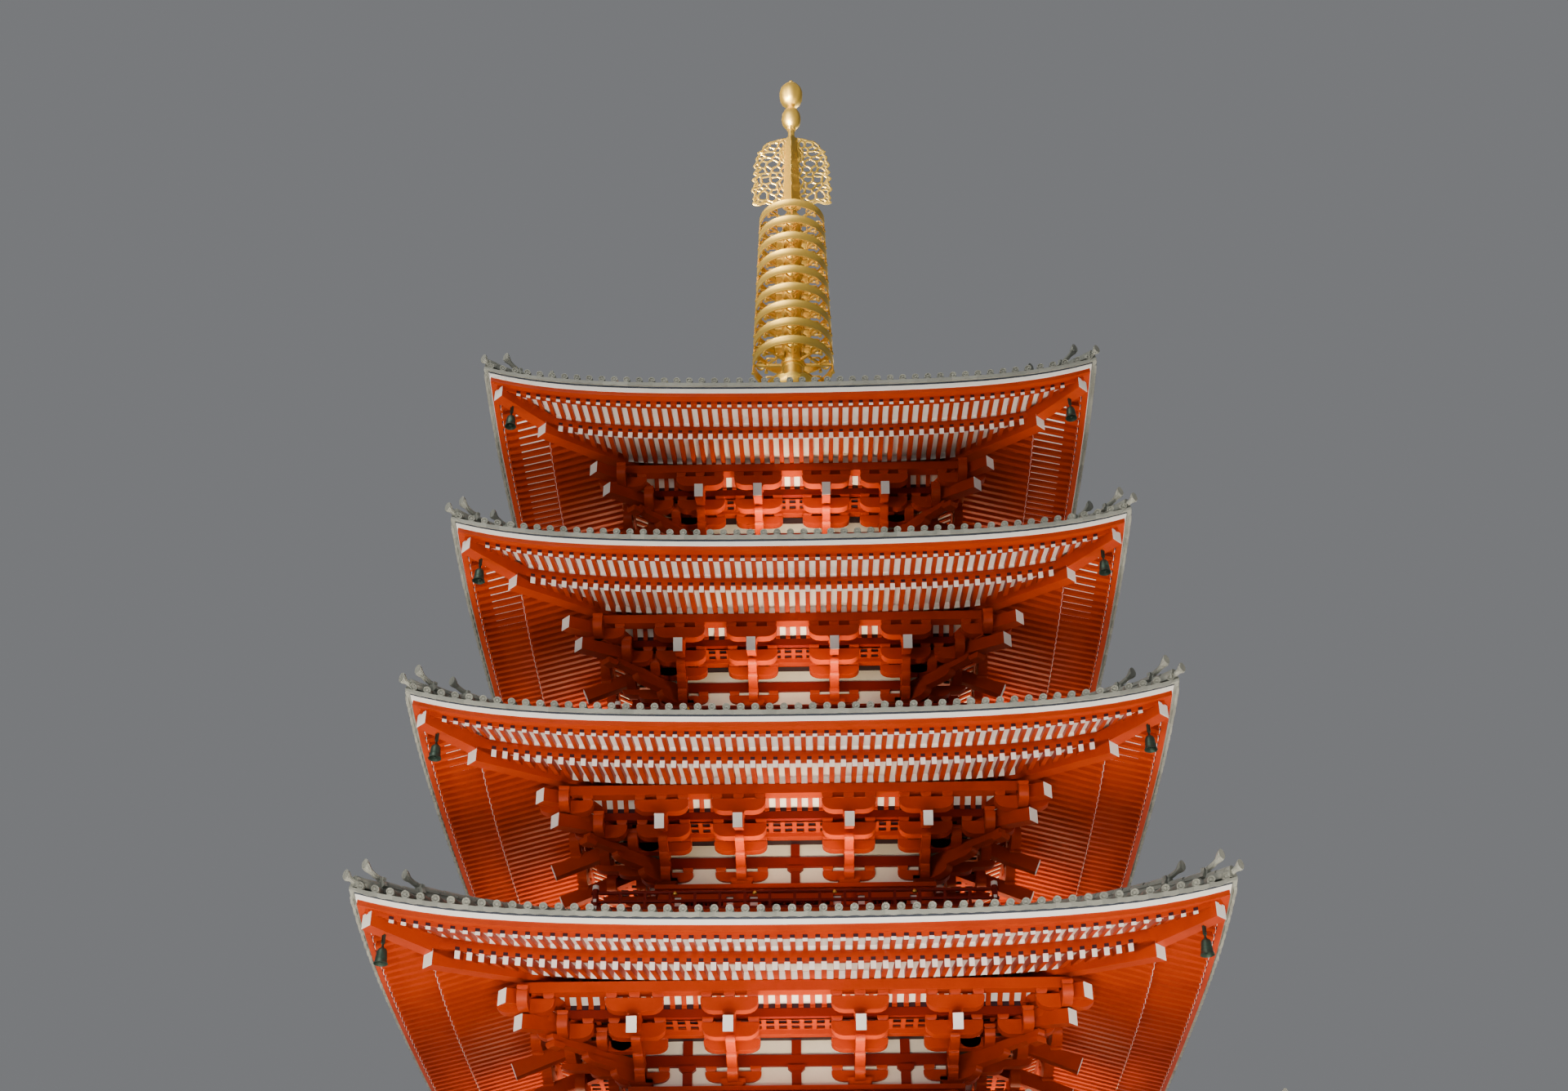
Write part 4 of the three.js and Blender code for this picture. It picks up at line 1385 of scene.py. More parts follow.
@dataclass
class WindBell:
    """A flared bronze bell with a clapper, hung on a pin by an eye.

    Attributes:
        storey: The storey that it hangs from.
        corner: The corner's name.
        segments: Faces round the bell.
        radius: Radius of its mouth.
        height: Height of the bell.
        wall: Thickness of its wall.
        drop: How far its crown hangs below the pin.
        pin: Radius of the pin.
        eye: Outer radius of the ring round the pin.
        eye_thick: Thickness of that ring.
        lug_thick: Thickness of a lug of the hook.
        lug_place: How far a lug's middle stands from the ring's.
    """

    storey: Storey
    corner: str
    segments: int = 28
    radius: float = 0.076 / PITCH
    height: float = 0.175 / PITCH
    wall: float = 0.009 / PITCH
    drop: float = 0.06 / PITCH
    pin: float = 0.008 / PITCH
    eye: float = 0.02 / PITCH
    eye_thick: float = 0.012 / PITCH
    lug_thick: float = 0.008 / PITCH
    lug_place: float = (0.012 / 2 + 0.005 + 0.008 / 2) / PITCH

    @property
    def name(self) -> str:
        """Name of the bell's node and body."""
        return f"{self.storey.name}_bell_{self.corner}"

    def shell(self) -> Form:
        """The hollow bell, from its crown out to the lip and back inside.

        Returns:
            The bell.
        """
        r, h, w = self.radius, self.height, self.wall
        outside = [(0, -0.01), (0.30, -0.02), (0.56, -0.08), (0.70, -0.20), (0.75, -0.36), (0.79, -0.58),
                   (0.79, -0.61), (0.82, -0.62), (0.83, -0.65), (0.81, -0.67), (0.85, -0.80), (0.93, -0.92),
                   (1.0, -1.0)]
        inside = [(0.92, -1.0), (0.80, -0.88), (0.70, -0.66), (0.64, -0.36), (0.56, -0.20), (0.3, -0.12),
                  (0, -0.11)]
        profile = [(a * r, b * h - self.drop) for a, b in outside + inside]
        crown = [(0, -self.drop + 0.06), (0.16, -self.drop + 0.05), (0.2, -self.drop - w),
                 (0, -self.drop - w)]
        return Form().turning(profile[::-1], self.segments).turning(crown[::-1], 16)

    def eye_plate(self) -> Form:
        """The ring that the pin goes through, on its stem.

        Returns:
            The ring and its stem.
        """
        inner, outer, thick, half = self.pin * 1.25, self.eye, self.eye_thick / 2, self.eye * 0.55
        section = [(inner, -thick), (outer, -thick), (outer, thick), (inner, thick), (inner, -thick)]
        made = Form().turning(section, 20).lying("x")
        return made.box((-thick, -half, -self.drop - self.wall), (thick, half, -self.eye * 0.8))

    def clapper(self) -> Form:
        """A rod in the bell, with a ball at its foot.

        Returns:
            The rod and the ball.
        """
        low = -self.drop - self.height
        made = Form().turning([(0, low + 0.1), (0.03, low + 0.1), (0.03, -self.drop - 0.14),
                               (0, -self.drop - 0.14)], 8)
        made.turning([(0, low + 0.06), (0.1, low + 0.1), (0.13, low + 0.2), (0.1, low + 0.3),
                      (0, low + 0.34)], 12)
        return made

    def build(self) -> None:
        """Makes the bell, on its own body where it swings."""
        out, z = bell_place(self.storey)
        whole = Form().extend(self.shell(), self.eye_plate(), self.clapper())
        placed = whole.moved(0, -out, z).turned(CORNERS[self.corner])
        body = self.name if self.name in frame["bodies"] else TOWER_BODY
        piece(self.name + "_cast", BRONZE, [placed], body, (self.name,))


@dataclass
class Roof:
    """A tiled roof: pan tiles, rolls over their joints, eave tiles and corner ridges.

    Attributes:
        storey: The storey.
        rows: Geometry nodes that repeat the tiles.
        spacing: Distance between rolls.
        roll: Radius of a roll.
        stations: Steps of the curve along each side.
        roll_steps: Steps along a roll.
        roll_sides: Faces over a roll.
        cap_length: About how long a round ridge tile is.
        cap_radius: Its radius.
        near_end: Place of the middle ridge end, from 0 at the ridge's foot to 1 at its head.
        far_end: Place of the upper ridge end.
    """

    storey: Storey
    rows: RowTree
    spacing: float = 1.24
    roll: float = 0.31
    stations: int = 28
    roll_steps: int = 7
    roll_sides: int = 6
    cap_length: float = 2.2
    cap_radius: float = 0.36
    near_end: float = 0.1
    far_end: float = 0.245

    @property
    def count(self) -> int:
        """Rolls along one side."""
        return round(2 * (self.storey.reach - 0.4) / self.spacing) + 1

    @property
    def outer(self) -> float:
        """Half side of the tiles' outer edge."""
        return self.storey.reach + TILE_REACH

    def pans(self) -> Form:
        """The curved bed of pan tiles and its underside.

        Returns:
            The bed.
        """
        s = self.storey
        halves = [self.outer - (self.outer - s.roof_end) * u
                  for u in (0, 0.04, 0.15, 0.3, 0.45, 0.6, 0.75, 0.9, 1)]
        top = [(half, -0.28) for half in halves]
        under = [(half, -0.8) for half in halves[::-1][:-2]]
        edge = [(s.reach - 1.0, -0.85), (self.outer - 0.5, -0.68), (self.outer, -0.52)]
        section = top + under + edge
        return Form().ring(section[::-1], s.tiles, self.stations)

    def seat(self) -> Form:
        """The board that the eave tiles rest on, near-black partly as painted shadow under the eave tiles.

        Returns:
            The board.
        """
        s = self.storey
        section = [(s.reach - 1.3, -0.07), (s.reach + 0.16, -0.07), (s.reach + 0.2, 0.12),
                   (s.reach - 1.3, 0.12)]
        return Form().ring(section, s.edge, self.stations)

    def half_round(self) -> Form:
        """A unit length of roll.

        Returns:
            The roll.
        """
        arc = [(self.roll * math.cos(a), self.roll * math.sin(a) + 0.04)
               for a in np.linspace(0, math.pi, self.roll_sides + 1)]
        outline = [(self.roll, -0.34), *arc, (-self.roll, -0.34)]
        return Form().loft([[(x, float(y), z) for x, z in outline]
                            for y in np.linspace(0, 1, self.roll_steps + 1)])

    def roll_end(self) -> Form:
        """A round eave tile with a raised rim and a boss.

        Returns:
            The tile.
        """
        r = 1.06 * self.roll
        profile = [(0, -0.5), (r, -0.5), (r, 0.0), (0.8 * r, 0.0), (0.72 * r, -0.1), (0.42 * r, -0.1),
                   (0.3 * r, -0.02), (0, -0.02)]
        return Form().turning(profile, 12).lying("y").moved(0, -0.08, 0.05)

    def pendant(self) -> Form:
        """A flat eave tile that hangs in a curve between two rolls.

        Returns:
            The tile.
        """
        half = self.spacing / 2
        top = [(x, -0.24 - 0.06 * math.cos(x / half * math.pi / 2)) for x in np.linspace(-half, half, 7)]
        low = [(x, -0.58 - 0.12 * math.cos(x / half * math.pi / 2)) for x in np.linspace(half, -half, 7)]
        return Form().plate(top + low, -0.06, 0.16, "y")

    def edge_row(self, unit: Form, shift: int) -> bpy.types.Mesh:
        """Repeats an eave tile along the edge."""
        half = (self.count - 1 - shift) / 2 * self.spacing
        return Row(unit, self.storey.tiles, self.count - shift, half, self.outer).mesh(self.rows, GREY_TILE)

    def rolls(self) -> bpy.types.Mesh:
        """Rolls from the eave up to the hip or the roof's top.

        Returns:
            The rolls of all four sides.
        """
        half = (self.count - 1) / 2 * self.spacing
        row = Row(self.half_round(), self.storey.tiles, self.count, half, self.outer - 0.1,
                  self.storey.roof_end, 0.5)
        return row.mesh(self.rows, GREY_TILE, 50.0)

    def ridge_line(self, share: float, up: float) -> tuple[float, float]:
        """A point on the corner ridge.

        Args:
            share: 0 at the foot, 1 at the head.
            up: Height above the tiles.

        Returns:
            Distance from the axis along the diagonal, and height.
        """
        s = self.storey
        foot = s.reach + 0.3
        head = max(s.roof_end + 0.2, 3.1)
        half = foot + (head - foot) * share
        return half * DIAGONAL, float(s.tiles.height(half, half)) + up

    def ridge_run(self, first: float, low: float, high: float, wide: float) -> Form:
        """One course of a corner ridge, up to the ridge's head.

        Args:
            first: Where it starts, from 0 at the foot.
            low: Its lowest height above the tiles.
            high: Its highest height.
            wide: Its width.

        Returns:
            The course.
        """
        shares = np.linspace(first, 1.0, 9)
        outline = [self.ridge_line(t, low) for t in shares]
        outline += [self.ridge_line(t, high) for t in shares[::-1]]
        return Form().plate([(-d, z) for d, z in outline], -wide / 2, wide / 2, "x")

    def ridge_cap(self, first: float, last: float, up: float) -> Form:
        """The round tiles along the top of a ridge.

        Args:
            first: Where they start.
            last: Where they end.
            up: Height of their middle above the tiles.

        Returns:
            The tiles, each a little wider at one end.
        """
        made = Form()
        count = max(2, round((self.ridge_line(first, 0)[0] - self.ridge_line(last, 0)[0]) / self.cap_length))
        angles = np.linspace(-0.25, math.pi + 0.25, 9)
        for i in range(count):
            arcs = []
            for share, radius in ((i / count, self.cap_radius * 1.14),
                                  ((i + 0.97) / count, self.cap_radius)):
                d, z = self.ridge_line(first + (last - first) * share, up)
                arcs.append([(radius * math.cos(a), -d, z + radius * math.sin(a)) for a in angles])
            made.loft(arcs)
        return made

    def end_tile(self, share: float, up: float, size: float, reach: float, rise: float) -> Form:
        """An ornamental ridge end: a shouldered plate with two curled horns and a raised roll.

        Args:
            share: Its place on the ridge.
            up: Height of its foot above the tiles.
            size: Its scale.
            reach: How far its raised roll runs out.
            rise: How far the roll rises.

        Returns:
            The ridge end.
        """
        d, z = self.ridge_line(share, up)
        half = [(0.0, 1.0), (0.3, 0.98), (0.48, 1.1), (0.6, 1.08), (0.64, 0.9), (0.6, 0.7), (0.72, 0.5),
                (0.92, 0.28), (1.0, 0.0), (0.6, -0.12), (0.0, -0.16)]
        outline = [(a * size, z + b * size) for a, b in half + [(-a, b) for a, b in half[-2:0:-1]]]
        made = Form().plate(outline, -d - 0.3 * size, -d + 0.12 * size, "y")
        boss = Form().turning([(0, 0.0), (0.42 * size, 0.0), (0.34 * size, 0.2 * size), (0, 0.26 * size)],
                              12)
        made.extend(boss.lying("y").moved(0, -d - 0.28 * size, z + 0.5 * size))
        angles = np.arange(10) * math.pi / 5
        rings = []
        for t, radius in ((0, 0.24), (0.25, 0.24), (0.5, 0.24), (0.75, 0.24), (1.0, 0.43), (1.12, 0.43)):
            along, height = -d + 0.1 - reach * t, z + size + rise * t * t
            rings.append([(radius * math.cos(a), along, height + radius * math.sin(a)) for a in angles])
        return made.loft(rings)

    def ridges(self) -> Form:
        """The ridges of the corners, stepped near their foot, with their end tiles.

        Returns:
            The four ridges.
        """
        made = Form()
        near, far = self.near_end, self.far_end
        for course in ((0.0, -0.3, 0.12, 1.1), (0.0, 0.12, 0.36, 0.86), (near, 0.36, 0.58, 1.0),
                       (far, 0.58, 0.8, 0.8), (far, 0.8, 1.0, 0.94)):
            made.extend(self.ridge_run(*course))
        for cap in ((0.0, near + 0.01, 0.36), (near, far + 0.01, 0.58), (far, 1.0, 1.0)):
            made.extend(self.ridge_cap(*cap))
        for end in ((0.02, -0.35, 0.5, 1.3, 0.35), (near, 0.25, 0.8, 1.7, 0.7), (far, 0.5, 0.8, 1.6, 0.5)):
            made.extend(self.end_tile(*end))
        return made.on_each_corner()

    def build(self) -> None:
        """Makes the tiles, the ridges and the board under the eave tiles."""
        name = self.storey.name
        tiles = [self.pans(), self.rolls(), self.edge_row(self.roll_end(), 0),
                 self.edge_row(self.pendant(), 1)]
        piece(f"{name}_tiles", GREY_TILE, tiles, replaces=(f"{name}_roof",))
        piece(f"{name}_ridges", GREY_TILE, [self.ridges()])
        piece(f"{name}_tile_seat", SLATE, [self.seat()])


# Top from the eave line, blocks' height and arm's height on each line from the wall to the purlin.
ARMS = ((-4.95, 0.46, 0.95), (-3.2, 0.45, 0.95), (-2.8, 0.46, 1.3), (-1.75, 0.48, 1.2))

# How far in from the eave each corner's two tails end and how far they hang below the eave line,
# and how far in the block under the hip rafter stands.
CORNER_PLACES = {
    1: ((10.6, 2.05), (11.9, 3.81), 14.2),
    2: ((10.6, 2.05), (11.9, 3.81), 14.2),
    3: ((10.2, 2.12), (11.5, 3.95), 13.7),
    4: ((9.4, 2.7), (10.6, 4.4), 12.8),
    5: ((9.6, 2.27), (10.9, 3.97), 13.05),
}


@dataclass
class Brackets:
    """Stepped brackets, tail rafters and through beams between the posts and the rafters.

    Attributes:
        storey: The storey.
        struts: Bays that have a strut in their middle, by the place of the bay: -1, 0 and 1.
        thick: Thickness of an arm.
        lattice: Distance between the bars of the lattice ceiling.
        lattice_bar: Width of a bar.
        arm_length: Half the length of an arm along the side.
        block_wide: Width of a block on an arm.
        tail_high: Height of a tail rafter.
        tail_wide: Its width.
    """

    storey: Storey
    struts: tuple[int, ...] = ()
    thick: float = 0.9
    lattice: float = 1.09
    lattice_bar: float = 0.4
    arm_length: float = 2.45
    block_wide: float = 0.95
    tail_high: float = 1.3
    tail_wide: float = 0.84

    def line(self, step: int) -> float:
        """Half side of a bracket step, from 0 at the wall to 3 at the purlin."""
        return self.storey.body + step * self.storey.stride

    def under(self, half: float) -> float:
        """Height of the rafters' underside at mid side, from the eave line."""
        return float(self.storey.base.height(0.0, half)) - self.storey.eave

    def arm_set(self, x: float, step: int) -> Form:
        """An arm along the side with three blocks on it.

        Args:
            x: Place of its middle.
            step: Its line, from 0 at the wall to 3 at the purlin.

        Returns:
            The arm and its blocks.
        """
        top, blocks, high = ARMS[step]
        half, z = self.line(step), self.storey.eave + top
        made = arm_across(x, half, z, self.arm_length, high, self.thick)
        for shift in (-1, 0, 1):
            made.block((x + shift * (self.arm_length - 0.5), -half, z + blocks), self.block_wide, blocks)
        return made

    def column(self, x: float) -> Form:
        """Everything over one post of the front.

        Args:
            x: The post's place.

        Returns:
            The bracket set.
        """
        e, body = self.storey.eave, self.storey.body
        made = Form().block((x, -body, e - 5.75), 2.1, 0.64, 0.7)
        for step in range(len(ARMS)):
            made.extend(self.arm_set(x, step))
        for end, top, high, thick in ((body + 2.2, 5.25, 0.85, 0.9), (body + 4.5, 4.62, 0.62, 0.86),
                                      (self.line(2) + 0.9, 4.1, 0.6, 0.8)):
            made.extend(arm_outward(x, body, end, e - top, high, thick))
        for half, top, wide, high in ((body + 1.55, 5.0, 0.95, 0.3), (self.line(1), 4.15, 1.0, 0.4),
                                      (self.line(3), 2.95, 1.1, 0.4)):
            made.block((x, -half, e - top), wide, high)
        return made.plate(self.tail_outline(0.0), x - self.tail_wide / 2, x + self.tail_wide / 2, "x")

    def tail_outline(self, cap: float) -> Outline:
        """Outline of a tail rafter, cut square to its slope, or of the paint on its end.

        Args:
            cap: Thickness of the paint, or 0 for the rafter.

        Returns:
            Points as (y, z).
        """
        s = self.storey
        length = math.hypot(1.0, TAIL_SLOPE)
        along = np.array((1.0, TAIL_SLOPE)) / length
        down = np.array((TAIL_SLOPE, -1.0)) / length
        centre = np.array((TAIL_END - s.reach, s.eave + TAIL_CENTRE))
        half = self.tail_high / 2 + (0.01 if cap else 0.0)
        run = 0.04 if cap else (s.reach - TAIL_END - s.body) * length
        corners = [centre - cap * along - half * down, centre + run * along - half * down,
                   centre + run * along + half * down, centre - cap * along + half * down]
        return [(float(y), float(z)) for y, z in corners]

    def tail_paint(self) -> Form:
        """White paint on the ends of the tail rafters, along the sides and at the corners.

        Returns:
            The paint.
        """
        s, half = self.storey, self.tail_wide / 2 + 0.01
        sides, corners = Form(), Form()
        for x in s.posts:
            sides.plate(self.tail_outline(0.03), x - half, x + half, "x")
        for inset, drop in CORNER_PLACES[s.number][:2]:
            out, z = (s.reach - inset) * DIAGONAL, s.eave - drop
            corners.box((-0.53, -out - 0.03, z - 0.65), (0.53, -out + 0.02, z + 0.65))
        return sides.on_each_side().extend(corners.on_each_corner())

    def beams(self) -> Form:
        """Beams that run round the tower on each line, and the outer purlin.

        Returns:
            The beams and the purlin.
        """
        s = self.storey
        e = s.eave
        outer = self.line(3)
        half = PURLIN_HALF
        made = Form()
        made.square_ring(outer - half, outer + half, e - 1.27, e + self.under(outer + half) - 0.02)
        return made.square_ring(self.line(1) - 0.4, self.line(1) + 0.4, e - 2.75, e - 2.1)

    def foot_beam(self) -> Form:
        """The beam on the second line, under the foot of the cove, in vermilion darkened as painted shade.
        """
        line = self.line(2)
        return Form().square_ring(line - 0.4, line + 0.4, self.storey.eave - 2.34, self.storey.eave - 1.6)

    def painted_foot_shadow(self) -> Form:
        """A near-black board between the feet of the cove's ribs: painted shadow above the foot beam."""
        line = self.line(2)
        return Form().square_ring(line - 0.4, line + 0.32, self.storey.eave - 1.59, self.storey.eave - 1.14)

    def cove(self) -> tuple[Form, Form]:
        """The slanting ribs behind the outer purlin, one under each rafter, and the boards behind them.

        Returns:
            The ribs and the boards.
        """
        e = self.storey.eave
        inner, outer = self.line(2) + 0.3, self.line(3) - PURLIN_HALF
        low, high = e - 1.15, e - 0.35
        boards = Form().ring([(inner, low), (outer, high), (outer, high + 0.15), (inner, low + 0.15)],
                             Slope.flat(outer, 0.0), 1)
        ribs = Form()
        half = self.storey.reach - 6.6
        for x in np.linspace(-half, half, round(2 * half) + 1):
            if abs(x) < inner:
                outline = [(-inner - 0.2, low - 0.4), (-inner - 0.2, low - 0.14), (-outer, high - 0.14),
                           (-outer, high + 0.02), (-inner, low + 0.02), (-inner, low - 0.4)]
                ribs.plate(outline, x - 0.21, x + 0.21, "x")
        return ribs.on_each_side(), boards

    def lattice_ceiling(self) -> tuple[Form, Form]:
        """Lattice between the two inner lines, and the boards over it, which take a near-black finish as
        painted shade seen through the lattice.

        Returns:
            The lattice and the boards.
        """
        e = self.storey.eave
        inner, outer = self.line(1) + 0.3, self.line(2) - 0.3
        low, high, half = e - 2.34, e - 2.28, self.lattice_bar / 2
        bars = Form()
        rows = max(2, round((outer - inner) / self.lattice))
        for i in range(rows + 1):
            line = inner + (outer - inner) * i / rows
            bars.square_ring(line - half, line + half, low, high)
        count = round(2 * inner / self.lattice)
        across = Form()
        for x in np.linspace(-inner, inner, count + 1):
            across.box((x - half, -outer, low - 0.01), (x + half, -inner, high))
        bars.extend(across.on_each_side())
        boards = Form().square_ring(self.storey.body + 0.2, outer + 0.2, e - 2.12, e - 1.98)
        return bars, boards

    def corners(self) -> Form:
        """Diagonal arms and tails of the corners, with the blocks that carry the hip rafters.

        Returns:
            The sets of all four corners.
        """
        s, e = self.storey, self.storey.eave
        wall = s.body * DIAGONAL
        back = wall - 0.4
        made = Form()
        *tails, block = CORNER_PLACES[s.number]
        for inset, drop in tails:
            out, z = (s.reach - inset) * DIAGONAL, e - drop
            rise = 0.2 * (out - back)
            outline = [(-out, z - 0.64), (-out, z + 0.64), (-back, z + 0.64 + rise),
                       (-back, z - 0.64 + rise)]
            made.plate(outline, -0.52, 0.52, "x")
        post = (s.reach - block) * DIAGONAL
        for place, top, wide, high, foot in ((post, 1.0, 1.5, 0.62, 0.75), (post, 0.3, 1.25, 0.7, 0.85),
                                             (post, 2.35, 1.3, 0.7, 0.8), (post - 0.8, 4.55, 1.2, 0.5, 0.8)):
            made.block((0, -place, e - top), wide, high, foot)
        for end, top, high in ((wall + 3.2, 5.25, 0.85), (wall + 6.4, 4.62, 0.7),
                               (self.line(2) * DIAGONAL + 1.6, 3.98, 0.72)):
            made.extend(arm_outward(0, back, end, e - top, high, 0.86))
        return made.on_each_corner()

    def corner_arms(self) -> Form:
        """Short arms that cross at the corners on the outer lines of both sides.

        Returns:
            The arms of all four corners.
        """
        made = Form()
        for step in range(1, len(ARMS)):
            for hand in (-1, 1):
                made.extend(self.arm_set(hand * self.line(step), step))
        return made.on_each_side()

    def wall_plane(self) -> tuple[Form, Form]:
        """Through beams and struts in the wall's plane, and the plaster between them.

        Returns:
            The timber and the plaster.
        """
        s = self.storey
        e, b = s.eave, s.body
        timber = Form()
        timber.square_ring(b - 0.42, b + 0.42, e - 4.49, e - 3.48)
        timber.square_ring(b - 0.42, b + 0.42, e - 1.37, e + self.under(b + 0.42) - 0.05)
        sides = Form()
        centres = {-1: -(b + s.bay) / 2, 0: 0.0, 1: (b + s.bay) / 2}
        for bay in self.struts:
            x = centres[bay]
            for top, foot in ((-4.49, -6.39), (-1.37, -3.48)):
                sides.box((x - 0.42, -b - 0.36, e + foot), (x + 0.42, -b + 0.2, e + top - 0.35))
                sides.block((x, -b, e + top), 1.5, 0.5, 0.62)
        if self.struts:
            timber.extend(sides.on_each_side())
        plaster = Form().square_ring(b - 0.2, b + 0.12, e - 6.39, e - 1.3)
        return timber, plaster

    def build(self) -> None:
        """Makes the timber, its white ends and the plaster."""
        name = self.storey.name
        columns = Form()
        for x in self.storey.posts:
            columns.extend(self.column(x))
        ribs, cove_boards = self.cove()
        bars, ceiling = self.lattice_ceiling()
        piece(f"{name}_bracket_sets", VERMILION,
              [columns.on_each_side(), self.beams(), ribs, bars, self.corner_arms(), self.corners()],
              replaces=(f"{name}_brackets",))
        beams, plaster = self.wall_plane()
        # Through beams in vermilion darkened as painted shade.
        piece(f"{name}_through_beams", SHADED_VERMILION, [beams, self.foot_beam()])
        # The boards over the lattice and the board over the foot beam are near-black: painted shade.
        piece(f"{name}_lattice_boards", PAINTED_SHADOW_BOARD, [ceiling, self.painted_foot_shadow()])
        piece(f"{name}_tail_paint", CHALK, [self.tail_paint(), cove_boards])
        piece(f"{name}_upper_plaster", LIME, [plaster])


@dataclass
class Walls:
    """Round posts, tie beams, plaster, doorways and barred windows of one storey.

    Attributes:
        storey: The storey.
        post: Radius of a post.
        bars: Distance between a window's bars.
        frame_wide: Width of the frame round an opening.
    """

    storey: Storey
    post: float = 0.85
    bars: float = 0.42
    frame_wide: float = 0.32

    @property
    def bottom(self) -> float:
        """Height of the posts' feet."""
        return self.storey.floor + 0.01

    @property
    def top(self) -> float:
        """Height of the posts' heads."""
        return self.storey.eave + COLUMN_TOP - 0.01

    @property
    def lintel(self) -> float:
        """Height of the doorway's head."""
        return self.bottom + 12 if self.storey.number == 1 else self.top - 1.0

    def openings(self) -> list[tuple[float, float, float, bool]]:
        """Doorway and windows of one side.

        Returns:
            Lowest and highest place along the side, the sill's height, and whether it has bars.
        """
        s = self.storey
        door = s.bay - 1.5
        half = (s.body - s.bay) / 2 - 1.4
        sill = self.bottom + (4.0 if s.number == 1 else 1.2)
        made = [(-door, door, self.bottom + 0.5, False)]
        for hand in (-1, 1):
            centre = hand * (s.bay + s.body) / 2
            made.append((centre - half, centre + half, sill, True))
        return made

    def timber(self) -> Form:
        """Posts, sills, lintels, tie beams and the frames round the openings.

        Returns:
            The timber of all four sides.
        """
        s = self.storey
        b = s.body
        side = Form()
        for x in s.posts[:-1]:
            r = self.post
            foot = [(0, self.bottom), (r * 1.04, self.bottom), (r * 1.04, self.bottom + 0.25),
                    (r, self.bottom + 0.3), (r, self.top - 1.0), (r * 0.86, self.top - 0.02),
                    (0, self.top - 0.02)]
            side.turning(foot, 16, (x, -b, 0))
        for low, high, sill, _ in self.openings():
            f = self.frame_wide
            for x in (low, high - f):
                side.box((x, -b - 0.46, sill), (x + f, -b + 0.34, self.lintel))
            side.box((low, -b - 0.5, self.lintel - f), (high, -b + 0.34, self.lintel))
            side.box((low, -b - 0.5, sill), (high, -b + 0.34, sill + f))
        made = side.on_each_side()
        made.square_ring(b - 0.5, b + 0.5, self.top - 1.0, self.top - 0.4)
        made.square_ring(b - 1.05, b + 1.05, self.top - 0.42, self.top)
        made.square_ring(b - 0.62, b + 0.62, self.bottom, self.bottom + 0.5)
        if s.number == 1:
            made.square_ring(b - 0.65, b + 0.65, self.lintel, self.lintel + 0.8)
        return made

    def window_bars(self) -> Form:
        """Upright bars in the windows, turned edge on.

        Returns:
            The bars of all four sides.
        """
        made = Form()
        for low, high, sill, barred in self.openings():
            if not barred:
                continue
            inner = high - low - 2 * self.frame_wide
            count = max(3, round(inner / self.bars))
            for i in range(1, count):
                x = low + self.frame_wide + inner * i / count
                r = 0.13
                outline = [(x - r, -self.storey.body), (x, -self.storey.body - r),
                           (x + r, -self.storey.body), (x, -self.storey.body + r)]
                made.plate(outline, sill + self.frame_wide - 0.05, self.lintel - self.frame_wide + 0.05, "z")
        return made.on_each_side()

    def plaster(self) -> Form:
        """White panels between the posts and round the openings.

        Returns:
            The panels of all four sides.
        """
        s = self.storey
        y0, y1 = -s.body - 0.28, -s.body + 0.28
        low, high = self.bottom + 0.45, self.top - 0.95
        made = Form()
        edge = -s.body
        for left, right, sill, barred in sorted(self.openings()):
            made.box((edge, y0, low), (left + 0.02, y1, high))
            made.box((left, y0, self.lintel - 0.02), (right, y1, high + 0.02))
            if barred:
                made.box((left, y0, low), (right, y1, sill + 0.02))
            edge = right - 0.02
        made.box((edge, y0, low), (s.body, y1, high))
        return made.on_each_side()

    def build(self) -> None:
        """Makes the timber, the bars and the plaster."""
        name = self.storey.name
        piece(f"{name}_posts", VERMILION, [self.timber()], replaces=(f"{name}_walls",))
        # Window bars in vermilion darkened as painted shade.
        piece(f"{name}_window_bars", SHADED_VERMILION, [self.window_bars()])
        piece(f"{name}_lower_plaster", LIME, [self.plaster()])


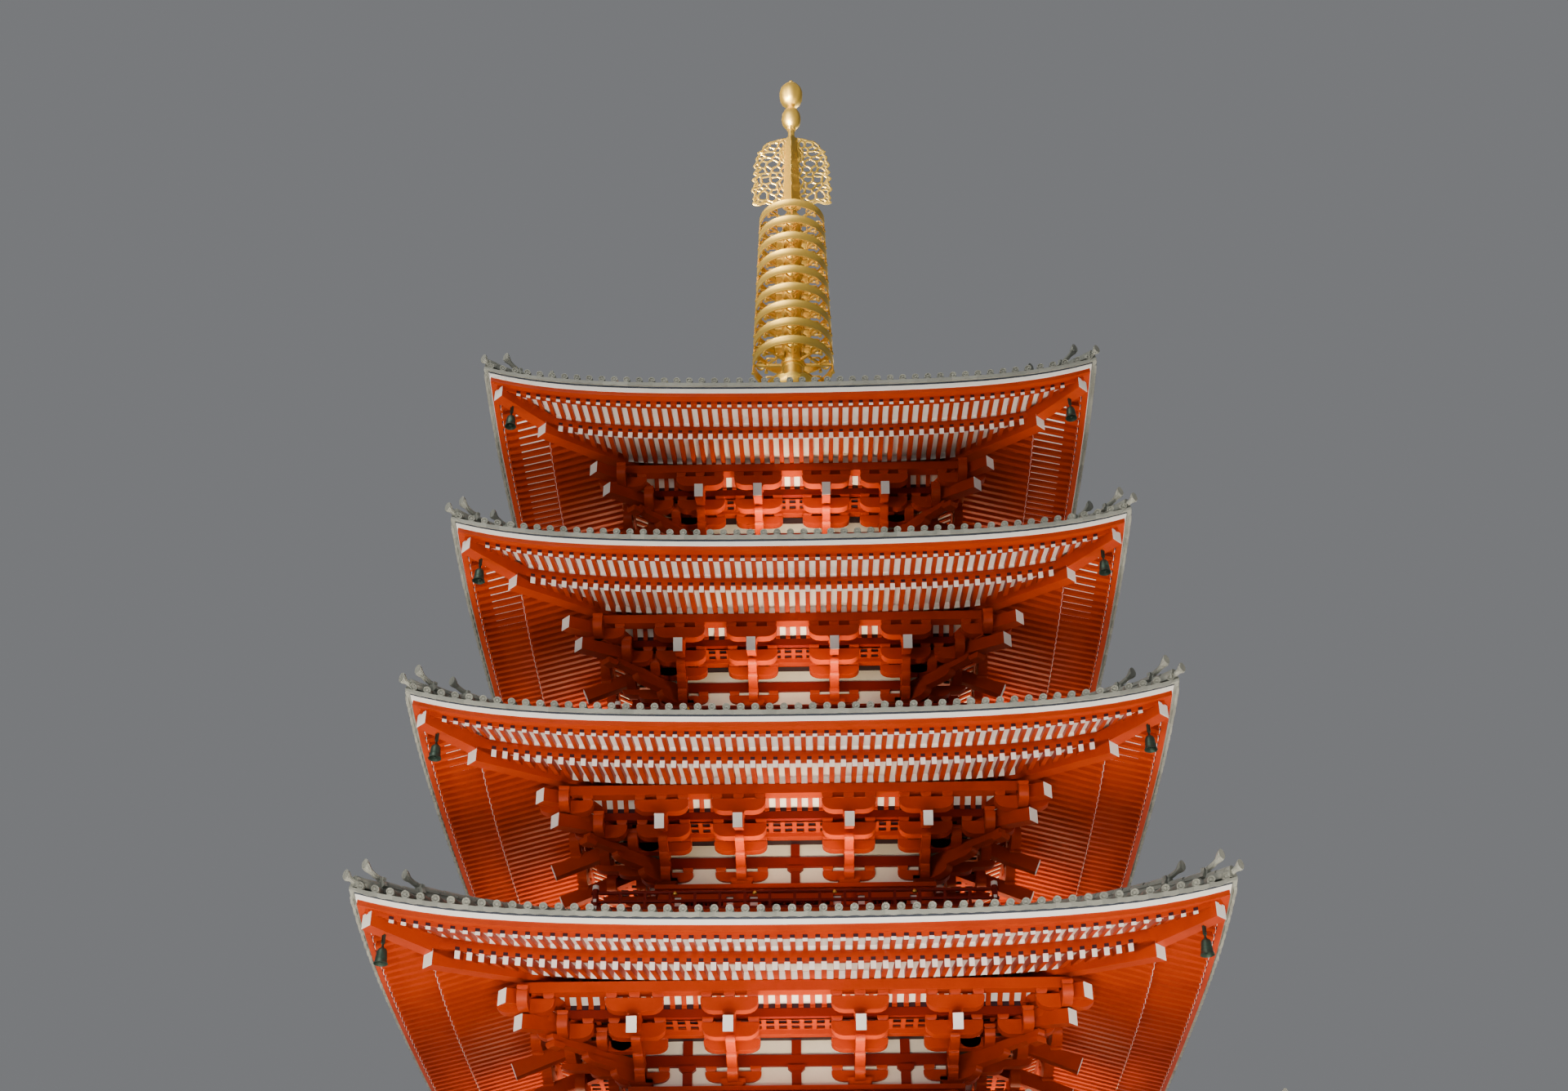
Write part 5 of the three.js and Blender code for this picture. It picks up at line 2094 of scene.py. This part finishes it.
@dataclass
class Balcony:
    """A boarded floor that runs out as a balcony, with its rails.

    Attributes:
        storey: The storey.
        rows: Geometry nodes that repeat the boards and the rail posts.
        reach: How far the floor runs out from the body.
        rail_side: How far the rail stands out.
        rail_top: Height of the top rail.
        post_gap: About how far apart the rail posts stand.
    """

    storey: Storey
    rows: RowTree
    reach: float = 6.3
    rail_side: float = 5.9
    rail_top: float = 1.95
    post_gap: float = 2.3

    @property
    def side(self) -> float:
        """Half side of the rail's line."""
        return self.storey.body + self.rail_side

    def flat(self, height: float) -> Slope:
        """A level surface."""
        return Slope.flat(self.storey.reach + 9, height)

    def floor(self) -> list[Form | bpy.types.Mesh]:
        """The slab, its edge, the boards on it and the frame under it.

        Returns:
            The slab and its frame, and the boards.
        """
        s = self.storey
        outer = s.body + self.reach
        slab = Form().box((-outer + 0.2, -outer + 0.2, s.floor - SLAB_THICK),
                          (outer - 0.2, outer - 0.2, s.floor - 0.1))
        slab.square_ring(outer - 0.35, outer, s.floor - 0.46, s.floor - 0.14)
        slab.square_ring(s.body + 4.3, s.body + 4.88, s.floor - SLAB_THICK - 0.28, s.floor - 0.3)
        board = Form().box((-0.44, 0, -0.16), (0.44, 1, 0))
        row = Row(board, self.flat(s.floor), round(2 * outer / 0.92) - 1, outer - 0.55, outer, s.body - 1.0,
                  0.0)
        return [slab, row.mesh(self.rows, VERMILION)]

    def rails(self) -> list[Form | bpy.types.Mesh]:
        """Three rails on small posts, with taller posts at the corners.

        Returns:
            The rails with their corner posts, and the small posts.
        """
        s = self.storey
        side, floor = self.side, s.floor
        end = side + 0.36
        made = Form()
        circle = [(-side + 0.17 * math.cos(a), floor + self.rail_top - 0.17 + 0.17 * math.sin(a))
                  for a in np.arange(10) * math.pi / 5]
        made.plate(circle, -end, end, "x")
        made.box((-end, -side - 0.12, floor + 0.8), (end, -side + 0.12, floor + 1.04))
        made.box((-end, -side - 0.16, floor + 0.12), (end, -side + 0.16, floor + 0.36))
        made.turning([(0, floor), (0.27, floor), (0.27, floor + 2.12), (0, floor + 2.12)], 14,
                     (-side, -side, 0))
        post = Form().box((-0.13, -0.13, 0), (0.13, 0.13, self.rail_top - 0.3))
        count = round(2 * side / self.post_gap) - 1
        half = side * (count - 1) / (count + 1)
        row = Row(post, self.flat(floor), count, half, side)
        return [made.on_each_side(), row.mesh(self.rows, SHADED_VERMILION)]

    def caps(self) -> Form:
        """Round white caps on the corner posts, and white ends on the rails.

        Returns:
            The caps and the rails' ends.
        """
        side, floor, end = self.side, self.storey.floor, self.side + 0.36
        cap = [(0, 2.1), (0.31, 2.1), (0.31, 2.24), (0.2, 2.27), (0.3, 2.36), (0.28, 2.47), (0.12, 2.56),
               (0, 2.6)]
        made = Form().turning([(r, floor + z) for r, z in cap], 16, (-side, -side, 0))
        for hand in (-1, 1):
            for low, high, half in ((0.78, 1.06, 0.14), (0.1, 0.38, 0.18)):
                x0, x1 = sorted((hand * end, hand * (end + 0.03)))
                made.box((x0, -side - half, floor + low), (x1, -side + half, floor + high))
        return made.on_each_side()

    def fittings(self) -> Form:
        """Gilt sleeves where the rails meet the posts.

        Returns:
            The sleeves of all four sides.
        """
        side, floor = self.side, self.storey.floor
        made = Form()
        for x in np.linspace(-side, side, 6)[1:-1]:
            made.turning([(0, 0), (0.19, 0), (0.22, 0.12), (0.19, 0.24), (0, 0.24)], 10,
                         (float(x), -side, floor + self.rail_top - 0.42))
        return made.on_each_side()

    def build(self) -> None:
        """Makes the floor and rails, the caps and the fittings."""
        name = self.storey.name
        piece(f"{name}_balcony_floor", VERMILION, self.floor(), replaces=(f"{name}_balcony",))
        # Rails and their posts in vermilion darkened as painted shade.
        piece(f"{name}_balcony_rails", SHADED_VERMILION, self.rails())
        piece(f"{name}_balcony_caps", CHALK, [self.caps()])
        piece(f"{name}_balcony_fittings", GILT, [self.fittings()])


class ColumnTree(PieceTree):
    """Stacks a piece up the axis, drawn in towards the top."""

    NUMBERS = {"Count": "Int", "Low": "Float", "High": "Float", "Top Share": "Float"}

    def shape(self, graph: Graph, unit: Wire, given: dict[str, Wire]) -> Wire:
        """Sets the piece out up the axis.

        Args:
            graph: The tree.
            unit: The piece.
            given: The tree's inputs.

        Returns:
            The stack.
        """
        ends = {"Start Location": graph.joined(0.0, 0.0, given["Low"]),
                "Offset": graph.joined(0.0, 0.0, given["High"])}
        line = graph.node("GeometryNodeMeshLine", {"mode": "END_POINTS"}, {"Count": given["Count"], **ends})
        share = graph.node("GeometryNodeInputIndex") / (given["Count"] - 1.0)
        size = 1.0 - share * (1.0 - given["Top Share"])
        return graph.node("GeometryNodeInstanceOnPoints", {}, {
            "Points": line, "Instance": unit, "Scale": graph.joined(size, size, 1.0)})


class OpenworkTree(PieceTree):
    """Turns a flat net of triangles into cells of cast rods."""

    NUMBERS = {"Rod": "Float", "Swirl": "Float"}
    STEP = 0.22
    NOISES = (0.62, 0.55)

    def shape(self, graph: Graph, unit: Wire, given: dict[str, Wire]) -> Wire:
        """Makes rods of the edges of the net's cells, bent into scrolls.

        Args:
            graph: The tree.
            unit: The net.
            given: The tree's inputs.

        Returns:
            The rods.
        """
        cells = graph.node("GeometryNodeDualMesh", {}, {"Mesh": unit, "Keep Boundaries": True})
        edges = graph.node("GeometryNodeMeshToCurve", {}, {"Mesh": cells})
        fine = graph.node("GeometryNodeResampleCurve", {"mode": "LENGTH"},
                          {"Curve": edges, "Length": self.STEP})
        place = graph.node("GeometryNodeInputPosition")
        across, up = ((graph.noise(place, scale, 1.0) - 0.5) * given["Swirl"] * 2.0 for scale in self.NOISES)
        lines = graph.node("GeometryNodeSetPosition", {},
                           {"Geometry": fine, "Offset": graph.joined(across, 0.0, up)})
        circle = graph.node("GeometryNodeCurvePrimitiveCircle", {},
                            {"Resolution": 5, "Radius": given["Rod"]})
        return graph.node("GeometryNodeCurveToMesh", {},
                          {"Curve": lines, "Profile Curve": circle, "Fill Caps": True})


@dataclass
class Spire:
    """The gilt spire: box, bowl and lotus, nine rings, four flames, a ball and a jewel.

    Attributes:
        eave: The top storey's eave line, which the heights start from.
        ring_low: Height of the lowest ring.
        ring_high: Height of the highest ring.
        ring_count: Number of rings.
        radius_low: Radius of the lowest ring.
        radius_high: Radius of the highest ring.
        flame_low: Height of the flames' foot.
        seed: Seed of the flames' cells.
        box_half: Half the side of the square base.
        box_high: Height of the square base.
        mast: Radius of the bare mast.
        mast_top: Height of the mast's top.
    """

    eave: float
    ring_low: float = 27.9
    ring_high: float = 50.8
    ring_count: int = 9
    radius_low: float = 4.85
    radius_high: float = 4.12
    flame_low: float = 54.5
    seed: int = 5
    box_half: float = 2.9
    box_high: float = 3.2
    mast: float = 0.42
    mast_top: float = 67.8
    FLAME_HEIGHTS = (0.0, 2.5, 6.0, 7.9, 9.7, 10.9, 11.8)
    FLAME_HALVES = (4.7, 4.78, 4.72, 4.4, 3.75, 2.9, 1.1)

    def base(self) -> Form:
        """The square base with panels, the inverted bowl and the lotus.

        Returns:
            The base.
        """
        z = self.eave + TOP_ROOF_RISE + 0.01
        h = self.box_half
        made = Form().box((-h + 0.12, -h + 0.12, z), (h - 0.12, h - 0.12, z + self.box_high))
        made.square_ring(h - 0.3, h, z, z + 0.4)
        made.square_ring(h - 0.3, h, z + self.box_high - 0.35, z + self.box_high)
        posts = Form()
        for x in (-h + 0.15, -h / 3, h / 3):
            posts.box((x - 0.15, -h, z + 0.3), (x + 0.15, -h + 0.2, z + self.box_high - 0.3))
        made.extend(posts.on_each_side())
        top = z + self.box_high
        made.box((-h - 0.5, -h - 0.5, top + 0.25), (h + 0.5, h + 0.5, top + 1.0))
        made.box((-h - 0.25, -h - 0.25, top), (h + 0.25, h + 0.25, top + 0.3))
        bowl = [(0, 0.9), (2.9, 0.9), (2.88, 1.3), (2.7, 1.95), (2.3, 2.6), (1.75, 3.1), (1.35, 3.4),
                (1.2, 3.75), (1.25, 4.0), (1.15, 4.2), (0, 4.2)]
        made.turning([(r, top + z1) for r, z1 in bowl], 32)
        return made.extend(self.petals(top + 4.0))

    def petals(self, foot: float) -> Form:
        """Two rows of upturned lotus petals.

        Args:
            foot: Height of their foot.

        Returns:
            The petals.
        """
        made = Form()
        for count, shift, out, high in ((10, 0.0, 2.6, 1.5), (10, 0.5, 2.25, 1.65)):
            for i in range(count):
                points = []
                for v in np.linspace(0, 1, 6):
                    wide = 0.92 * math.sin(math.pi * (0.18 + 0.82 * (1 - v) ** 0.8)) + 0.04
                    reach = 0.9 + (out - 0.9) * math.sin(v * math.pi / 2)
                    for u in (-1, -0.5, 0, 0.5, 1):
                        bulge = 0.12 * (1 - u * u)
                        points.append((u * wide, -(reach + bulge), foot + high * v ** 1.6))
                faces = [(r * 5 + c, r * 5 + c + 1, r * 5 + c + 6, r * 5 + c + 5)
                         for r in range(5) for c in range(4)]
                back = [(x, y + 0.07, z + 0.03) for x, y, z in points]
                n = len(points)
                rim = [0, 1, 2, 3, 4, 9, 14, 19, 24, 29, 28, 27, 26, 25, 20, 15, 10, 5]
                shell = faces + [tuple(n + k for k in face[::-1]) for face in faces]
                shell += [(a, n + a, n + b, b) for a, b in zip(rim, rim[1:] + rim[:1])]
                made.extend(Form().add(points + back, shell).turned((i + shift) * 360 / count))
        return made

    def ring_unit(self) -> Form:
        """One ring with its spokes, scrolls and little bells.

        Returns:
            The ring.
        """
        r = self.radius_low
        made = Form().turning([(r - 0.18, -0.6), (r, -0.6), (r, -0.5), (r - 0.05, -0.44), (r - 0.05, 0.44),
                               (r, 0.5), (r, 0.6), (r - 0.18, 0.6), (r - 0.18, -0.6)], 48)
        made.turning([(1.05, -0.34), (1.42, -0.34), (1.5, 0.0), (1.42, 0.34), (1.05, 0.34), (1.05, -0.34)],
                     20)
        for i in range(8):
            arm = Form().box((-0.13, -r + 0.1, -0.16), (0.13, -1.3, 0.16))
            for hand in (-1, 1):
                scroll = []
                for t in np.linspace(0.0, 1.0, 7):
                    a = math.pi * (0.15 + 1.1 * t)
                    scroll.append((hand * (0.2 + 0.62 * math.sin(a)), -r + 0.5 + 1.5 * t))
                inner = [(x * 0.72, y) for x, y in scroll[::-1]]
                arm.plate(scroll + inner, -0.1, 0.1, "z")
            bell = [(0, -1.22), (0.25, -1.22), (0.2, -1.08), (0.16, -0.8), (0.05, -0.7), (0.05, -0.56),
                    (0, -0.56)]
            arm.turning(bell, 8, (0, -r + 0.1, 0))
            made.extend(arm.turned(i * 45))
        return made

    def pole(self) -> Form:
        """The sleeves round the mast, stepped between the rings, and the bare mast above.

        Returns:
            The mast and its sleeves.
        """
        low = self.eave + TOP_ROOF_RISE + self.box_high + 4.6
        step = (self.ring_high - self.ring_low) / (self.ring_count - 1)
        profile = [(0, low), (1.25, low)]
        for i in range(self.ring_count):
            z = self.eave + self.ring_low + step * i
            profile += [(1.12, z - 0.6), (1.22, z - 0.5), (1.22, z + 0.5), (1.12, z + 0.6),
                        (1.0, z + step / 2)]
        top = self.eave + self.ring_high
        profile += [(0.95, top + 1.5), (0.7, top + 1.7), (0.55, top + 3), (self.mast, top + 3.1),
                    (self.mast, self.eave + self.mast_top), (0, self.eave + self.mast_top)]
        made = Form().turning(profile, 20)
        boss = Form().turning([(0, 0), (0.58, 0), (0.5, 0.14), (0.3, 0.16), (0.24, 0.26), (0, 0.3)], 10)
        boss = boss.lying("y")
        sides = Form()
        for i in range(self.ring_count - 1):
            sides.extend(boss.moved(0, -1.0, self.eave + self.ring_low + step * (i + 0.5)))
        return made.extend(sides.on_each_side())

    def flame_net(self) -> bpy.types.Mesh:
        """A flat net of triangles in the outline of one flame.

        Returns:
            The net, in pitches.
        """
        low = self.eave + self.flame_low
        heights = np.linspace(0.0, 11.6, 21)
        belly = np.interp(heights, self.FLAME_HEIGHTS, self.FLAME_HALVES)
        edge = [(float(x) + 0.16 * (-1) ** i, float(z)) for i, (x, z) in enumerate(zip(belly, heights))]
        outline = [(0.62, 0.0), *edge, (0.66, 11.8)]
        wander = np.random.default_rng(self.seed)
        inside = []
        spacing = 1.08
        for row in range(14):
            for column in range(5):
                x = 0.9 + spacing * (column + 0.5 * (row % 2)) + wander.uniform(-0.22, 0.22)
                z = 0.5 + spacing * 0.86 * row + wander.uniform(-0.22, 0.22)
                limit = np.interp(z, heights, belly)
                if x < limit - 0.4 and z < 11.5:
                    inside.append(Vector((x, z)))
        points = [Vector(p) for p in outline] + inside
        loop = list(range(len(outline)))
        flat, _, faces, *_ = delaunay_2d_cdt(points, [], [loop], 1, 1e-4)
        mesh = bpy.data.meshes.new("flame net")
        mesh.from_pydata([(p.x, 0.0, p.y + low) for p in flat], [], faces)
        return mesh

    def flames(self) -> list[Form | bpy.types.Mesh]:
        """Four openwork flames on a flat central post.

        Returns:
            The flames and the post.
        """
        openwork = OpenworkTree()
        made = []
        for side in range(SIDES):
            flame = openwork.run(self.flame_net(), GILT, {"Rod": 0.17, "Swirl": 0.75}, 60.0)
            turn = Matrix.Rotation(side * math.pi / 2, 4, "Z")
            flame.transform(turn @ Matrix.Diagonal((1.0, 0.5, 1.0, 1.0)))
            shade(flame, 60.0)
            made.append(flame)
        low = self.eave + self.flame_low - 0.8
        inner = self.mast + 0.01
        post = [(inner, low), (1.15, low), (0.8, low + 12.6), (inner, low + 12.8), (inner, low)]
        return [*made, Form().turning(post, 4)]

    def jewels(self) -> Form:
        """The ball and the pointed jewel.

        Returns:
            The ball and the jewel.
        """
        foot = self.eave + self.mast_top + 0.01
        profile = [(0, 0), (0.5, 0), (0.6, 0.2), (0.5, 0.45), (0.85, 0.75), (1.15, 1.3), (1.26, 2.05),
                   (1.18, 2.8), (0.9, 3.5), (0.55, 4.0), (0.42, 4.45), (0.5, 4.7), (0.95, 4.9), (1.3, 5.4),
                   (1.53, 6.1), (1.58, 6.8), (1.42, 7.5), (1.05, 8.15), (0.6, 8.6), (0.3, 8.82),
                   (0.36, 9.05), (0.28, 9.26), (0, 9.38)]
        made = Form().turning([(r, foot + z) for r, z in profile], 48)
        points = made.points[0]
        angle = np.arctan2(points[:, 1], points[:, 0])
        share = np.clip(1 - abs(points[:, 2] - foot - 6.2) / 1.9, 0, 1)
        points[:, :2] *= (1 - 0.07 * share * (1 - abs(np.sin(angle * 3))))[:, None]
        return made

    def build(self) -> None:
        """Makes the spire's four pieces."""
        values = {"Count": self.ring_count, "Low": self.eave + self.ring_low,
                  "High": self.eave + self.ring_high,
                  "Top Share": self.radius_high / self.radius_low}
        rings = ColumnTree().run(self.ring_unit().mesh("ring", 1.0), GILT, values, 40.0)
        piece("spire_foot", GILT, [self.base()], replaces=("spire_base",))
        piece("spire_nine_rings", GILT, [rings, self.pole()], replaces=("spire_rings",))
        piece("spire_openwork_flames", GILT, self.flames(), replaces=("spire_flames",))
        piece("spire_ball_and_jewel", GILT, [self.jewels()], replaces=("spire_jewels",))


@dataclass
class Ground:
    """The stone terrace, the plinth under the tower and the front steps.

    Attributes:
        rows: Geometry nodes that repeat the stones.
        half: Half the terrace's side.
        top: Height of the terrace.
        plinth: Half the plinth's side.
        floor: Height of the plinth.
        stones: Stones in a course.
        courses: Courses of stones.
    """

    rows: RowTree
    half: float = 41.0
    top: float = 19.2
    plinth: float = 22.0
    floor: float = 22.0
    stones: int = 17
    courses: int = 4

    def facing(self) -> list[bpy.types.Mesh]:
        """Stones in courses, each row set half a stone along.

        Returns:
            The stones of each course.
        """
        low, high = 2.0, self.top - 1.35
        tall = (high - low) / self.courses
        wide = 2 * self.half / self.stones
        made = []
        for course in range(self.courses):
            shift = course % 2
            unit = Form().box((-wide / 2 + 0.05, 0, 0.04), (wide / 2 - 0.05, 1, tall - 0.04))
            level = Slope.flat(self.half + 1, low + tall * course)
            count = self.stones - shift
            row = Row(unit, level, count, (count - 1) / 2 * wide, self.half - 0.02)
            made.append(row.mesh(self.rows, GRANITE))
        return made

    def build(self) -> None:
        """Makes the terrace and dresses the steps."""
        core = Form().box((-self.half + 0.2, -self.half + 0.2, 0.3),
                          (self.half - 0.2, self.half - 0.2, self.top - 0.2))
        core.square_ring(self.half - 2, self.half, 0.0, 0.9)
        core.square_ring(self.half - 2, self.half - 0.02, 0.9, 1.95)
        coping = [(self.half - 3, -1.3), (self.half + 0.2, -1.3), (self.half + 0.5, -1.05),
                  (self.half + 0.5, -0.12), (self.half + 0.38, 0.0), (self.half - 3, 0.0)]
        core.ring(coping, Slope.flat(self.half + 1, self.top), 1)
        core.box((-self.plinth + 0.3, -self.plinth + 0.3, self.top - 1),
                 (self.plinth - 0.3, self.plinth - 0.3, self.floor))
        core.square_ring(self.plinth - 1.5, self.plinth, self.top - 0.5, self.top + 0.7)
        core.square_ring(self.plinth - 1.5, self.plinth, self.floor - 0.7, self.floor)
        piece("podium_stones", GRANITE, [core, *self.facing()], replaces=("podium",))
        steps = frame["nodes"]["front_steps"]
        steps.data.materials.clear()
        steps.data.materials.append(GRANITE.material())


@dataclass
class Door:
    """A closed double door of planks in the ground floor, with studs and ring pulls.

    Attributes:
        storey: The ground storey.
        side: The side's name.
        turn: The side's direction in degrees.
        planks: Planks in each leaf.
    """

    storey: Storey
    side: str
    turn: float
    planks: int = 5

    def build(self) -> None:
        """Makes the planks and the metal."""
        s = self.storey
        half = s.bay - 1.5 - 0.35
        low, high = s.floor + 0.86, s.floor + 12 - 0.34
        y = -s.body
        leaf = Form()
        wide = half / self.planks
        for i in range(2 * self.planks):
            x = -half + wide * i
            leaf.box((x + 0.02, y - 0.14, low), (x + wide - 0.02, y + 0.14, high))
        leaf.box((-half, y - 0.08, low), (half, y + 0.1, high))
        metal = Form()
        for z in (low, (low + high) / 2 - 0.35, high - 0.7):
            for hand in (-1, 1):
                x0, x1 = sorted((hand * 0.06, hand * half))
                leaf.box((x0, y - 0.27, z), (x1, y - 0.1, z + 0.7))
                for k in range(self.planks):
                    stud = Form().turning([(0, 0), (0.17, 0), (0.15, 0.09), (0.08, 0.15), (0, 0.17)], 10)
                    metal.extend(stud.lying("y").moved(hand * wide * (k + 0.5), y - 0.27, z + 0.35))
        for hand in (-1, 1):
            x = hand * 0.5
            metal.box((x - 0.2, y - 0.24, (low + high) / 2 - 1.6),
                      (x + 0.2, y - 0.12, (low + high) / 2 - 1.0))
        name = f"{self.side}_door"
        # Door planks in vermilion darkened as painted shade.
        piece(f"{name}_planks", SHADED_VERMILION, [leaf.turned(self.turn)], replaces=(name,))
        piece(f"{name}_metal", GILT, [metal.turned(self.turn)])


@dataclass(frozen=True)
class Studio:
    """The floor, the soft lights and the camera at the photograph's viewing angle.

    Attributes:
        eye: The camera's place in metres.
        pitch: How far it looks up, in degrees.
        yaw: How far it is turned anticlockwise.
        roll: How far it is tipped.
        lens: Focal length for a 36 mm sensor.
        roof_light_out: How far from the body the lights over the roofs stand.
        roof_light_up: How high over the storey's floor they stand.
        roof_light_power: Power of one of them, in watts.
        amber: Their colour.
    """

    eye: Point = (0.264, -23.306, 0.800)
    pitch: float = 34.54
    yaw: float = 1.02
    roll: float = -0.22
    lens: float = 44.66
    roof_light_out: float = 6.6
    roof_light_up: float = 2.2
    roof_light_power: float = 38.0
    amber: Point = (1.0, 0.80, 0.50)

    def camera(self) -> None:
        """Sets up the camera."""
        data = bpy.data.cameras.new("camera")
        data.lens = self.lens
        data.sensor_width = 36.0
        data.clip_end = 500.0
        made = bpy.data.objects.new("camera", data)
        turn = (Matrix.Rotation(math.radians(self.yaw), 4, "Z")
                @ Matrix.Rotation(math.radians(90 + self.pitch), 4, "X")
                @ Matrix.Rotation(math.radians(self.roll), 4, "Z"))
        made.matrix_world = Matrix.Translation(self.eye) @ turn
        bpy.context.scene.collection.objects.link(made)
        bpy.context.scene.camera = made

    def light(self, name: str, place: Point, aim: Point, size: tuple[float, float], power: float,
              colour: tuple[float, float, float], spread: float = 180.0) -> None:
        """Adds a soft light.

        Args:
            name: Its name.
            place: Where it stands.
            aim: Where it points.
            size: Its length and width.
            power: Its power in watts.
            colour: Its colour.
            spread: How wide its beam is, in degrees.
        """
        data = bpy.data.lights.new(name, "AREA")
        data.shape = "RECTANGLE"
        data.size, data.size_y = size
        data.energy = power
        data.color = colour
        data.spread = math.radians(spread)
        made = bpy.data.objects.new(name, data)
        made.matrix_world = (Matrix.Translation(place)
                             @ (Vector(aim) - Vector(place)).to_track_quat("-Z", "Y").to_matrix().to_4x4())
        made.visible_camera = False
        bpy.context.scene.collection.objects.link(made)

    def roof_lights(self, storey: Storey) -> None:
        """Adds a long soft light along each side of an upper storey, low over the roof below it.

        Args:
            storey: The storey.
        """
        out = (storey.body + self.roof_light_out) * PITCH
        low = (storey.floor + self.roof_light_up) * PITCH
        size = (storey.body * 1.3 * PITCH, 0.35)
        for side, (x, y) in {"front": (0, -1), "right": (1, 0), "back": (0, 1), "left": (-1, 0)}.items():
            place = Vector((x * out, y * out, low))
            aim = place + Vector((-0.05 * x, -0.05 * y, 1.0))
            self.light(f"{storey.name} {side}", tuple(place), tuple(aim), size if y else size[::-1],
                       self.roof_light_power, self.amber, 135.0)

    def floor(self) -> None:
        """Adds the plain pale floor."""
        mesh = bpy.data.meshes.new("floor")
        far = 120.0
        corners = [(x * far, y * far, -0.001) for x, y in ((-1, -1), (1, -1), (1, 1), (-1, 1))]
        mesh.from_pydata(corners, [], [(0, 1, 2, 3)])
        made = bpy.data.objects.new("floor", mesh)
        material = bpy.data.materials.new("pale floor")
        material.use_nodes = True
        graph = Graph(material.node_tree)
        shader = graph.node("ShaderNodeBsdfPrincipled", {},
                            {"Base Color": (0.72, 0.71, 0.69, 1.0), "Roughness": 0.85}, "BSDF")
        graph.node("ShaderNodeOutputMaterial", {}, {"Surface": shader})
        mesh.materials.append(material)
        bpy.context.scene.collection.objects.link(made)

    def build(self) -> None:
        """Makes the studio."""
        self.camera()
        self.floor()
        world = bpy.data.worlds.new("studio")
        world.use_nodes = True
        graph = Graph(world.node_tree)
        sky = graph.node("ShaderNodeBackground", {}, {"Color": (0.86, 0.88, 0.92, 1.0), "Strength": 0.22})
        graph.node("ShaderNodeOutputWorld", {}, {"Surface": sky})
        bpy.context.scene.world = world
        white, warm = (1.0, 0.97, 0.93), (1.0, 0.90, 0.78)
        self.light("low front", (0, -10.5, 0.5), (0, -3.0, 12), (8.0, 6.0), 1900.0, warm, 125.0)
        self.light("low left", (-11, -4, 0.5), (-3.0, -1, 12), (6.0, 8.0), 1050.0, warm, 125.0)
        self.light("low right", (11, -4, 0.5), (3.0, -1, 12), (6.0, 8.0), 1050.0, warm, 125.0)
        self.light("low back", (0, 11, 0.5), (0, 3.0, 12), (8.0, 6.0), 1400.0, warm, 125.0)
        self.light("front", (-12, -26, 8.0), (0, 0, 17), (9.0, 9.0), 1300.0, white)
        self.light("spire", (-12, -16, 14.0), (0, 0, 25.5), (3.0, 3.0), 1500.0, warm, 28.0)
        self.light("above", (-14, -22, 34.0), (0, 0, 14), (16.0, 16.0), 5000.0, white)
        self.light("behind", (10, 26, 24.0), (0, 0, 14), (16.0, 16.0), 9000.0, white)
        for storey in storeys()[1:]:
            self.roof_lights(storey)


STRUTS = {1: (-1, 0, 1), 2: (-1, 0, 1), 3: (0,), 4: (), 5: ()}


def main() -> None:
    """Builds the sub-assemblies from the ground up."""
    Studio().build()
    rows = RowTree()
    levels = storeys()
    Ground(rows).build()
    for side, turn in (("front", 0), ("right", 90), ("back", 180), ("left", 270)):
        Door(levels[0], side, turn).build()
    for storey in levels:
        if storey.number > 1:
            Balcony(storey, rows).build()
        Walls(storey).build()
        Brackets(storey, STRUTS[storey.number]).build()
        wide = storey.number <= 2
        Eaves(storey, rows, hip_split=5.2 if wide else 4.8, base_first=7.55 if wide else 6.6).build()
        Roof(storey, rows).build()
        for corner in CORNERS:
            WindBell(storey, corner).build()
    Spire(levels[-1].eave).build()


if __name__ == "__main__":
    logging.basicConfig(level=logging.INFO, format="%(name)s %(message)s")
    main()
